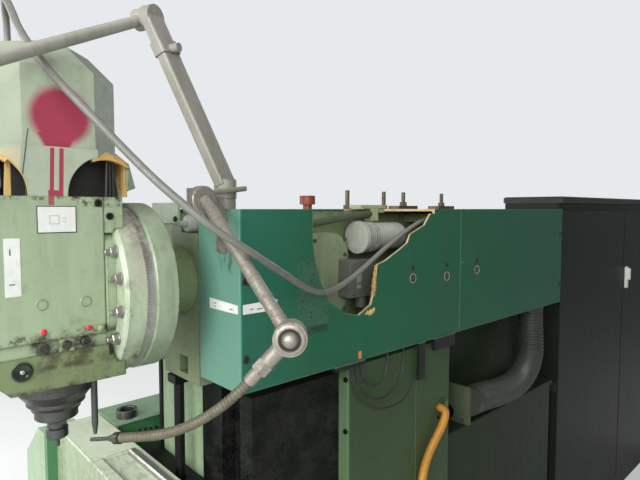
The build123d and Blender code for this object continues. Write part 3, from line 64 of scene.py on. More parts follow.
# Free hoses and cables: points in millimetres, as the tubes they stand for
loopLook = dict(body="ram", radius=2.5, slot="black_rubber", paint="blackRubber", far="object", stiff="limp")
cords = dict(
    headConduit=dict(node="head_conduit", body="ram", radius=7.5, slot="grey_conduit", paint="conduitGrey",
                     far="object", stiff="medium", points=[
        (236, 322, 1719), (236, 255, 1719), (238, 185, 1697), (240, 110, 1664), (244, 30, 1628), (252, -45, 1592),
        (264, -125, 1560), (284, -205, 1541), (314, -285, 1541), (350, -370, 1568), (384, -445, 1604),
        (410, -520, 1640), (421, -585, 1676), (415, -645, 1712), (390, -690, 1755), (350, -728, 1802),
        (300, -762, 1858), (243, -796, 1920), (192, -832, 1980), (146, -860, 2036), (100, -880, 2094),
        (60, -884, 2145), (12, -882, 2178), (-40, -874, 2186), (-80, -862, 2155), (-80, -862, 2098)]),
    coolantHose=dict(node="gooseneck", body="ram", radius=10, slot="grey_conduit", paint="greasyHose",
                     far="fitting", stiff="stiff", ribbed=dict(pitch=8.0, groove=2.2), points=[
        (492, -626, 1445), (469.4, -643.3, 1414.1), (424, -668, 1373), (372, -689, 1340), (318, -710, 1316),
        (266, -730, 1301), (216, -749, 1288)]),
    cableLoopOne=dict(loopLook, node="cable_loop_1", points=[
        (278, -100, 1318), (278, -100, 1292), (280, -85, 1266), (281, -57, 1245), (281, -26, 1244), (280, -2, 1262),
        (279, 11, 1288), (277, 15, 1310), (277, 15, 1330)]),
    cableLoopTwo=dict(loopLook, node="cable_loop_2", points=[
        (278, -122, 1318), (278, -122, 1290), (281, -108, 1258), (283, -82, 1226), (284, -45, 1204), (284, 0, 1200),
        (283, 40, 1214), (282, 70, 1242), (280, 86, 1275), (277, 91, 1305), (277, 91, 1330)]),
    cableLoopThree=dict(loopLook, node="cable_loop_3", points=[
        (278, -147, 1318), (278, -147, 1286), (282, -130, 1248), (285, -104, 1216), (286, -65, 1186),
        (286, -20, 1170), (286, 35, 1165), (285, 85, 1172), (282, 120, 1192), (278, 144, 1222), (278, 163, 1222)]),
    amberConduit=dict(node="amber_conduit", body="stand", radius=14, slot="amber_plastic", paint="amber",
                      far="object", stiff="medium", ribbed=dict(pitch=6.0, groove=1.2), points=[
        (254, 316, 1077), (276, 316, 1077), (288, 308, 1066), (288, 292, 1036), (286, 260, 1002), (284, 222, 962),
        (283, 194, 914), (283, 180, 860), (283, 174, 780), (283, 176, 680), (283, 186, 560), (283, 202, 440),
        (283, 216, 330), (283, 222, 270), (283, 222, 170)]),
)
trunk = dict(radius=53, groove=5.0, pitch=14.0, cuff=34, sides=44, steps=7, points=[
    (214, 1076, 1330), (214, 1076, 1262), (222, 1070, 1190), (234, 1048, 1120), (244, 980, 1060),
    (250, 890, 1028), (250, 780, 1022), (250, 660, 1034), (250, 580, 1044), (250, 509, 1044)])


def nurbsCurve(name, points, radius):
    # open smooth line with the route's points as its control points
    data = bpy.data.curves.new(name, "CURVE")
    data.dimensions = "3D"
    data.bevel_depth = radius / 1000
    data.bevel_resolution = 4
    data.resolution_u = 12
    data.use_fill_caps = radius > 0
    spline = data.splines.new("NURBS")
    spline.points.add(len(points) - 1)
    for point, place in zip(spline.points, points):
        point.co = (place[0] / 1000, place[1] / 1000, place[2] / 1000, 1)
    spline.order_u = 3
    spline.use_endpoint_u = True
    return data


def routeLine(points):
    # places along the smooth line itself, read from the curve with no bevel, in metres
    probe = bpy.data.objects.new("routeLine", nurbsCurve("routeLine", points, 0))
    line = bpy.data.meshes.new_from_object(probe)
    places = np.array([vertex.co[:] for vertex in line.vertices])
    bpy.data.objects.remove(probe)
    return places


def placesAt(line, along, stations):
    return np.stack([np.interp(stations, along, line[:, axis]) for axis in range(3)], axis=1)


def ringsAlong(centre, size, sides):
    # rings square to a line, whose two directions across it turn as little as they can
    heading = np.gradient(centre, axis=0)
    heading /= np.linalg.norm(heading, axis=1, keepdims=True)
    across = np.zeros_like(centre)
    offLine = (0.3, 0.9, 0.2)
    across[0] = np.cross(heading[0], offLine)
    across[0] /= np.linalg.norm(across[0])
    for index in range(1, len(centre)):
        carried = across[index - 1] - heading[index] * np.dot(across[index - 1], heading[index])
        across[index] = carried / np.linalg.norm(carried)
    other = np.cross(heading, across)
    turn = np.linspace(0, 2 * np.pi, sides, endpoint=False)[None, :, None]
    return centre[:, None, :] + size[..., None] * (across[:, None, :] * np.cos(turn)
                                                   + other[:, None, :] * np.sin(turn))


def ribbedTube(line, radius, groove, pitch, sides, steps, cuff=0.0):
    # rings round the line: radius less a groove that deepens as one minus the cosine of the way along
    radius, groove, pitch, cuff = radius / 1000, groove / 1000, pitch / 1000, cuff / 1000
    along = np.concatenate([[0], np.cumsum(np.linalg.norm(np.diff(line, axis=0), axis=1))])
    stations = np.linspace(0, along[-1], int(along[-1] / pitch * steps) + 1)
    sharper, inCuff = 1.6, 0.25
    sunk = (0.5 - 0.5 * np.cos(stations / pitch * 2 * np.pi)) ** sharper
    sunk = np.where((stations < cuff) | (stations > along[-1] - cuff), inCuff, sunk)
    return ringsAlong(placesAt(line, along, stations), (radius - groove * sunk)[:, None], sides)


def gridFaces(rows, columns):
    # quads of a grid of rings, closed round, with a cap at each end
    ring = np.arange(columns)
    base = np.arange(rows - 1)[:, None] * columns
    quads = np.stack([base + ring, base + np.roll(ring, -1), base + columns + np.roll(ring, -1),
                      base + columns + ring], axis=-1).reshape(-1, 4)
    return quads.tolist() + [ring[::-1].tolist(), (ring + (rows - 1) * columns).tolist()]


# Shader nodes of one tree, and the place that they are worked out at
class Brush:
    def __init__(self, tree, where=None):
        self.tree = tree
        self.where = where

    def put(self, value, socket):
        # another node's output is linked, a number or a colour sits on the socket
        if isinstance(value, bpy.types.NodeSocket):
            self.tree.links.new(value, socket)
        else:
            socket.default_value = (*value, 1) if socket.type == "RGBA" else value

    def add(self, kind, inputs, **settings):
        made = self.tree.nodes.new(kind)
        for key, value in settings.items():
            setattr(made, key, value)
        for key, value in inputs.items():
            self.put(value, made.inputs[key])
        return made.outputs

    def math(self, operation, *values, clamp=False):
        return self.add("ShaderNodeMath", dict(enumerate(values)), operation=operation, use_clamp=clamp)["Value"]

    def times(self, first, second):
        return self.math("MULTIPLY", first, second)

    def plus(self, first, second):
        return self.math("ADD", first, second)

    def minus(self, first, second):
        return self.math("SUBTRACT", first, second)

    def larger(self, first, second):
        return self.math("MAXIMUM", first, second)

    def vectors(self, operation, *values, output="Vector"):
        return self.add("ShaderNodeVectorMath", dict(enumerate(values)), operation=operation)[output]

    def split(self, vector):
        return self.add("ShaderNodeSeparateXYZ", {"Vector": vector})

    def ramp(self, source, low, high):
        # straight ramp from 0 at low to 1 at high
        return self.add("ShaderNodeMapRange", {"Value": source, "From Min": low, "From Max": high})["Result"]

    def mix(self, factor, first, second, blend="MIX"):
        return self.add("ShaderNodeMix", {0: factor, 6: first, 7: second}, data_type="RGBA", blend_type=blend)[2]

    def noise(self, scale, detail, rough, stretch=None):
        vector = self.where
        if stretch:
            vector = self.add("ShaderNodeMapping", {"Vector": vector, "Scale": stretch})["Vector"]
        return self.add("ShaderNodeTexNoise", {"Vector": vector, "Scale": scale, "Detail": detail,
                                               "Roughness": rough})["Fac"]

    def turned(self, axis):
        # the normal's part along an axis
        return self.split(self.add("ShaderNodeTexCoord", {})["Normal"])[axis]

    def sideMask(self, axis, low, high):
        # how far the surface turns away from an axis: ramps on the size of its normal's part along it
        return self.ramp(self.math("ABSOLUTE", self.turned(axis)), low, high)

    def facing(self, colour, axis, low, high, most, shade):
        # tints what faces along an axis
        return self.mix(self.times(self.ramp(self.turned(axis), low, high), most), colour, shade)

    def region(self, low, high, soft):
        # mask of a box given in millimetres
        return self.add("ShaderNodeGroup", {
            "Vector": self.where, "Low": tuple(value / 1000 for value in low),
            "High": tuple(value / 1000 for value in high), "Soft": soft / 1000}, node_tree=region)["Mask"]

    def stained(self, colour, rows):
        # dirt, grease or rust kept to regions and broken up by noise
        for low, high, shade, scale, cover, soft, *rest in rows:
            stretch, most = rest or (None, 0.9)
            broken = self.ramp(self.noise(scale, 6.0, 0.7, stretch), *cover)
            colour = self.mix(self.times(self.times(self.region(low, high, soft), broken), most), colour, shade)
        return colour


# Shader groups shared by the finishes
def startGroup(name, inputs, outputs):
    tree = bpy.data.node_groups.new(name, "ShaderNodeTree")
    for side, sockets in (("INPUT", inputs), ("OUTPUT", outputs)):
        for label, kind in sockets.items():
            tree.interface.new_socket(name=label, in_out=side, socket_type="NodeSocket" + kind)
    get = tree.nodes.new("NodeGroupInput").outputs
    return Brush(tree, get["Vector"]), get, tree.nodes.new("NodeGroupOutput").inputs


def makePaintAge():
    # paint that has aged: blotches of tone, chips along edges, grime that gathers in streaks and patches
    brush, get, out = startGroup("paintAge", dict(Vector="Vector", Paint="Color", Chip="Color", Grime="Color",
                                                  Wear="Float", Dirt="Float", Gloss="Float"),
                                 dict(Colour="Color", Roughness="Float", Height="Float"))
    blotch = brush.noise(5.0, 5.0, 0.6)
    fine = brush.noise(60.0, 6.0, 0.65)
    speck = brush.noise(210.0, 3.0, 0.7)
    streak = brush.noise(9.0, 5.0, 0.62, (3.2, 3.2, 0.45))
    paint = brush.mix(brush.ramp(blotch, 0.30, 0.72), get["Paint"], (0.84, 0.88, 0.84), "MULTIPLY")
    paint = brush.mix(brush.times(brush.ramp(fine, 0.42, 0.75), 0.35), paint, (0.80, 0.80, 0.76), "MULTIPLY")
    # an edge is where a rounded normal leaves the true one
    rounded = brush.add("ShaderNodeBevel", {"Radius": 0.006}, samples=4)["Normal"]
    level = brush.add("ShaderNodeNewGeometry", {})["Normal"]
    edge = brush.ramp(brush.vectors("DOT_PRODUCT", rounded, level, output="Value"), 0.985, 0.80)
    broken = brush.plus(edge, brush.times(brush.minus(fine, 0.5), 2.6))
    chips = brush.larger(brush.times(brush.ramp(broken, 0.72, 0.86), get["Wear"]),
                         brush.times(brush.ramp(speck, 0.745, 0.775), get["Wear"]))
    dirt = brush.larger(brush.times(brush.ramp(streak, 0.44, 0.78), get["Dirt"]),
                        brush.times(brush.ramp(brush.times(blotch, fine), 0.27, 0.42), get["Dirt"]))
    brush.put(brush.mix(chips, brush.mix(dirt, paint, get["Grime"]), get["Chip"]), out["Colour"])
    rough = brush.plus(get["Gloss"], brush.times(dirt, 0.35))
    brush.put(brush.plus(rough, brush.times(brush.minus(fine, 0.5), 0.25)), out["Roughness"])
    height = brush.minus(brush.times(fine, 0.35), chips)
    brush.put(brush.plus(height, brush.times(dirt, 0.2)), out["Height"])
    return brush.tree


def makeMetalAge():
    # bare machined metal: tool marks, oil film and stains
    brush, get, out = startGroup("metalAge", dict(Vector="Vector", Metal="Color", Stain="Color", Amount="Float",
                                                  Gloss="Float"),
                                 dict(Colour="Color", Roughness="Float", Metallic="Float", Height="Float"))
    blotch = brush.noise(14.0, 6.0, 0.65)
    fine = brush.noise(120.0, 5.0, 0.7)
    grain = brush.noise(60.0, 3.0, 0.6, (8.0, 8.0, 0.4))
    stain = brush.times(brush.ramp(brush.times(blotch, fine), 0.20, 0.38), get["Amount"])
    metal = brush.mix(brush.times(grain, 0.5), get["Metal"], (0.6, 0.6, 0.6), "MULTIPLY")
    brush.put(brush.mix(stain, metal, get["Stain"]), out["Colour"])
    rough = brush.plus(get["Gloss"], brush.times(stain, 0.4))
    brush.put(brush.plus(rough, brush.times(grain, 0.12)), out["Roughness"])
    brush.put(brush.minus(1.0, stain), out["Metallic"])
    brush.put(brush.plus(brush.times(grain, 0.5), stain), out["Height"])
    return brush.tree


def makeRegion():
    # 1 inside a box of space, falling to 0 over Soft at its sides
    brush, get, out = startGroup("region", dict(Vector="Vector", Low="Vector", High="Vector", Soft="Float"),
                                 dict(Mask="Float"))
    least = brush.split(brush.vectors("MINIMUM", brush.vectors("SUBTRACT", get["Vector"], get["Low"]),
                                      brush.vectors("SUBTRACT", get["High"], get["Vector"])))
    smallest = brush.math("MINIMUM", least["X"], brush.math("MINIMUM", least["Y"], least["Z"]))
    brush.put(brush.math("DIVIDE", smallest, get["Soft"], clamp=True), out["Mask"])
    return brush.tree


paintAge = makePaintAge()
metalAge = makeMetalAge()
region = makeRegion()


def startMaterial(name):
    material = bpy.data.materials.new(name)
    material.use_nodes = True
    tree = material.node_tree
    return (material, Brush(tree, tree.nodes.new("ShaderNodeTexCoord").outputs["Object"]),
            tree.nodes["Principled BSDF"].inputs)


def agedMaterial(name, group, looks, passed, decorate, bump, shine):
    material, brush, shader = startMaterial(name)
    aged = brush.add("ShaderNodeGroup", {"Vector": brush.where, **looks}, node_tree=group)
    colour = decorate(brush, aged["Colour"]) if decorate else aged["Colour"]
    brush.put(colour, shader["Base Color"])
    for label in passed:
        brush.put(aged[label], shader[label])
    brush.put(shine, shader["Specular IOR Level"])
    raised = {"Strength": 1.0, "Distance": bump / 1000, "Height": aged["Height"]}
    brush.put(brush.add("ShaderNodeBump", raised)["Normal"], shader["Normal"])
    return material


def agedPaint(name, paint, chip=(0.10, 0.09, 0.07), grime=(0.10, 0.085, 0.05), wear=0.5, dirt=0.4, gloss=0.38,
              decorate=None, bump=0.6, shine=0.5):
    looks = dict(Paint=paint, Chip=chip, Grime=grime, Wear=wear, Dirt=dirt, Gloss=gloss)
    return agedMaterial(name, paintAge, looks, ("Roughness",), decorate, bump, shine)


def agedMetal(name, metal, stain=(0.07, 0.05, 0.03), amount=0.5, gloss=0.35, decorate=None):
    looks = dict(Metal=metal, Stain=stain, Amount=amount, Gloss=gloss)
    return agedMaterial(name, metalAge, looks, ("Roughness", "Metallic"), decorate, 0.3, 0.5)


# Stains by piece: low and high corner in millimetres, shade, noise scale, its cover, soft rim, then stretch and most
headOil, lowerOil, coverInk = (0.045, 0.040, 0.022), (0.05, 0.045, 0.025), (0.02, 0.035, 0.025)
wornPatch = ((270, -338, 1448), (290, -223, 1626))
stains = dict(
    head=[((100, -1010, 1486), (150, -700, 1512), headOil, 45.0, (0.46, 0.60), 9),
          ((100, -800, 1752), (150, -700, 1776), headOil, 95.0, (0.50, 0.60), 5),
          ((100, -800, 1690), (150, -700, 1752), headOil, 80.0, (0.62, 0.68), 6),
          ((-150, -1010, 1766), (150, -700, 1780), headOil, 60.0, (0.50, 0.60), 3),
          ((120, -890, 1440), (150, -760, 1500), headOil, 50.0, (0.40, 0.60), 8)],
    lower=[((90, -880, 1425), (150, -700, 1470), lowerOil, 38.0, (0.42, 0.60), 9),
           ((-150, -1010, 1385), (150, -700, 1402), lowerOil, 42.0, (0.44, 0.58), 7)],
    flange=[((-230, -722, 1560), (230, -600, 1790), (0.38, 0.35, 0.29), 9.0, (0.30, 0.50), 50, None, 0.88),
            ((-210, -730, 1640), (210, -600, 1780), (0.13, 0.085, 0.055), 16.0, (0.38, 0.62), 40),
            ((60, -730, 1430), (220, -700, 1640), (0.10, 0.085, 0.06), 34.0, (0.50, 0.66), 20),
            ((-60, -730, 1350), (215, -600, 1470), (0.08, 0.07, 0.04), 26.0, (0.50, 0.62), 24)],
    scale=[((-210, -690, 1600), (210, -640, 1780), (0.17, 0.12, 0.08), 30.0, (0.36, 0.58), 30)],
    cover=[(*wornPatch, coverInk, 120.0, (0.57, 0.62), 6),
           ((270, -328, 1434), (290, -229, 1456), coverInk, 75.0, (0.42, 0.52), 3),
           ((176, -505, 1600), (252, -495, 1700), coverInk, 40.0, (0.50, 0.57), 8, (1.0, 1.0, 0.35), 0.9),
           ((150, -505, 1560), (281, -495, 1749), (0.16, 0.25, 0.17), 11.0, (0.42, 0.62), 30, (1.0, 1.0, 0.3), 0.5)],
    saddle=[((-560, -670, 842), (560, -500, 870), (0.10, 0.09, 0.05), 40.0, (0.45, 0.60), 8)],
    slide=[((-240, -640, 1036), (545, -540, 1047), (0.16, 0.17, 0.12), 24.0, (0.50, 0.60), 8, (1.0, 2.4, 1.0), 0.7),
           ((-235, -670, 1036), (545, -640, 1052), (0.10, 0.10, 0.07), 60.0, (0.48, 0.58), 8, None, 0.7)],
)


def stainsOf(key):
    return lambda brush, colour: brush.stained(colour, stains[key])


# Red paint sprayed on the motor cover's +X side: round, narrowing to the ledge, with two runs below it
sprayed = dict(y=-818, z=1933, radius=60, neck=24, widen=0.55, tall=30, ledge=1871, runEnd=1778, lean=0.056,
               runs=((-836.5, 4.3), (-819.5, 4.6)), wire=(0.156, -1.174), wireEnds=(1808, 1904),
               red=(0.31, 0.024, 0.062), ridge=(0.62, 0.40, 0.38), black=(0.03, 0.03, 0.03),
               # front and rear: painted shade, tints for the faces turned those ways
               edge=(0.66, 0.40, 0.10), front=(0.25, 0.29, 0.215), rear=(0.15, 0.18, 0.14))


def coverMarks(brush, colour):
    ledge, runEnd = sprayed["ledge"], sprayed["runEnd"]
    # painted shade: faces turned to the front are tinted darker, and faces turned to the rear darker still
    colour = brush.facing(colour, "Y", -0.35, -0.6, 0.85, sprayed["front"])
    colour = brush.facing(colour, "Y", 0.4, 0.65, 0.7, sprayed["rear"])
    parts = brush.split(brush.where)
    offY = brush.minus(parts["Y"], sprayed["y"] / 1000)
    offZ = brush.minus(parts["Z"], sprayed["z"] / 1000)
    away = brush.math("SQRT", brush.plus(brush.times(offY, offY), brush.times(offZ, offZ)))
    grains = brush.times(brush.minus(brush.noise(700.0, 2.0, 0.8), 0.5), 0.022)
    disc = brush.ramp(brush.plus(away, grains), sprayed["radius"] * 1.08 / 1000, sprayed["radius"] * 0.80 / 1000)
    high = brush.ramp(parts["Z"], (ledge - 1) / 1000, (ledge + 6) / 1000)
    width = brush.plus(brush.times(brush.minus(parts["Z"], ledge / 1000), sprayed["widen"]), sprayed["neck"] / 1000)
    beside = brush.minus(width, brush.math("ABSOLUTE", brush.plus(offY, 0.008)))
    neck = brush.times(brush.ramp(brush.minus(beside, grains), -0.001, 0.004),
                       brush.region((100, -900, ledge), (150, -740, ledge + sprayed["tall"]), 2.5))
    mask = brush.larger(brush.times(disc, high), neck)
    below = brush.region((100, -860, runEnd - 8), (150, -800, ledge), 1.2)
    lean = brush.times(brush.minus(ledge / 1000, parts["Z"]), sprayed["lean"])
    for runY, half in sprayed["runs"]:
        offRun = brush.minus(brush.plus(parts["Y"], lean), runY / 1000)
        run = brush.ramp(brush.math("ABSOLUTE", offRun), half / 1000, (half - 1) / 1000)
        mask = brush.larger(mask, brush.times(run, below))
    mask = brush.larger(mask, brush.region((100, -849, 1774), (150, -823, runEnd + 10), 2.0))
    mask = brush.times(mask, brush.ramp(parts["X"], 0.100, 0.112))
    colour = brush.mix(brush.times(mask, 0.95), colour, sprayed["red"])
    ridge = brush.region((100, -852, 1869.5), (150, -800, 1872.5), 0.8)
    colour = brush.mix(brush.times(ridge, 0.6), colour, sprayed["ridge"])
    slope, start = sprayed["wire"]
    low, top = sprayed["wireEnds"]
    offWire = brush.minus(parts["Y"], brush.plus(brush.times(parts["Z"], slope), start))
    wire = brush.times(brush.ramp(brush.math("ABSOLUTE", offWire), 0.0016, 0.0008),
                       brush.region((100, -900, low), (150, -868, top), 1.0))
    colour = brush.mix(brush.times(wire, 0.85), colour, sprayed["black"])
    bare = brush.times(brush.sideMask("X", 0.75, 0.55), brush.region((60, -1030, 1776), (150, -640, 1866), 1.0))
    return brush.mix(brush.times(bare, 0.9), colour, sprayed["edge"])


def headMarks(brush, colour):
    run = brush.region((120, -849, 1757), (150, -837, 1777), 1.4)
    return brush.mix(brush.times(run, 0.85), brush.stained(colour, stains["head"]), (0.29, 0.03, 0.055))


def scaleMarks(brush, colour):
    # one fine line each two degrees round the swivel's own centre, on the rim
    parts = brush.split(brush.where)
    angle = brush.math("ARCTAN2", brush.minus(parts["Z"], 1.566), parts["X"])
    share = brush.math("FRACT", brush.times(angle, 180 / math.pi / 2))
    tick = brush.times(brush.ramp(share, 0.12, 0.07), brush.ramp(parts["Y"], -0.664, -0.667))
    return brush.stained(brush.mix(brush.times(tick, 0.6), colour, (0.03, 0.03, 0.03)), stains["scale"])


def rustSpots(brush, colour):
    broken = brush.ramp(brush.noise(85.0, 5.0, 0.75), 0.60, 0.68)
    grouped = brush.ramp(brush.noise(7.0, 3.0, 0.6), 0.46, 0.60)
    return brush.mix(brush.times(broken, grouped), colour, (0.13, 0.055, 0.025))


# Ram cover: cream break edges, black strips below it, the marks of use on its front half, and painted light and shade
# along it
coverLook = dict(breakBox=((90, -300, 1395), (281.5, 262, 1751.5)), rawTop=((90, 10, 1735), (279, 262, 1751.5)),
                 stripTop=1329, orange=((270, -114.5, 1334), (290, -99.5, 1358)), worn=(0.055, 0.12, 0.08),
                 # the tints for front faces, for the near end and for the far end are painted light and shade
                 frontLightTint=(0.130, 0.275, 0.215), near=(0.026, 0.138, 0.094), far=(0.018, 0.055, 0.040),
                 scratch=(0.30, 0.38, 0.32), spot=(0.62, 0.19, 0.045), strip=(0.012, 0.014, 0.012),
                 raw=((0.47, 0.41, 0.27), (0.42, 0.28, 0.11)))


def frontPaintedLight(brush, colour):
    # painted light: faces turned toward the front are tinted lighter, for the light that falls on them
    return brush.facing(colour, "Y", -0.6, -0.9, 0.85, coverLook["frontLightTint"])


def sideCoverMarks(brush, colour):
    parts = brush.split(brush.where)
    # painted light and shade: the cover is tinted brighter near its front end and darker toward its rear
    colour = brush.mix(brush.ramp(parts["Y"], -0.50, -0.28), brush.mix(0.75, colour, coverLook["near"]), colour)
    colour = brush.mix(brush.times(brush.ramp(parts["Y"], -0.10, 0.60), 0.30), colour, coverLook["far"])
    colour = frontPaintedLight(brush, colour)
    colour = brush.mix(brush.times(brush.region(*wornPatch, 10), 0.45), colour, coverLook["worn"])
    colour = brush.stained(colour, stains["cover"])
    scratch = brush.ramp(brush.noise(46.0, 2.0, 0.5, (1.0, 0.25, 3.0)), 0.775, 0.79)
    colour = brush.mix(brush.times(scratch, 0.6), colour, coverLook["scratch"])
    colour = brush.mix(brush.region(*coverLook["orange"], 3), colour, coverLook["spot"])
    edge = brush.times(brush.times(brush.sideMask("X", 0.80, 0.60), brush.sideMask("Z", 0.995, 0.97)),
                       brush.region(*coverLook["breakBox"], 1.0))
    topEdge = brush.times(brush.sideMask("Z", 0.30, 0.15), brush.region(*coverLook["rawTop"], 1.0))
    raw = brush.mix(brush.ramp(brush.noise(22.0, 4.0, 0.6), 0.42, 0.58), *coverLook["raw"])
    colour = brush.mix(brush.larger(edge, topEdge), colour, raw)
    strips = brush.ramp(parts["Z"], coverLook["stripTop"] / 1000, (coverLook["stripTop"] - 1) / 1000)
    return brush.mix(strips, colour, coverLook["strip"])


def housingMarks(brush, colour):
    # the sunk panel of the drive housing is dark green
    sunk = brush.times(brush.region((-407.5, -530, 700), (-401, -200, 1050), 0.6), brush.sideMask("X", 0.6, 0.9))
    return brush.mix(sunk, colour, (0.045, 0.16, 0.06))


def columnPaintedLight(brush, colour):
    # painted light: the column's front faces are tinted lighter than its sides
    return brush.facing(colour, "Y", -0.6, -0.9, 0.9, (0.092, 0.168, 0.078))


def endPaintedShade(brush, colour):
    # painted shade: the end housing's faces turned toward +X are tinted darker green
    return brush.facing(colour, "X", 0.5, 0.8, 1.0, (0.07, 0.205, 0.095))


def saddleMarks(brush, colour):
    # the cross slide is painted, and bare with oil below its waist, where the table is bolted on
    bare = brush.ramp(brush.split(brush.where)["Z"], 0.842, 0.838)
    metal = brush.mix(brush.noise(26.0, 5.0, 0.6), (0.10, 0.10, 0.085), (0.34, 0.33, 0.29))
    return brush.stained(brush.mix(bare, colour, metal), stains["saddle"])


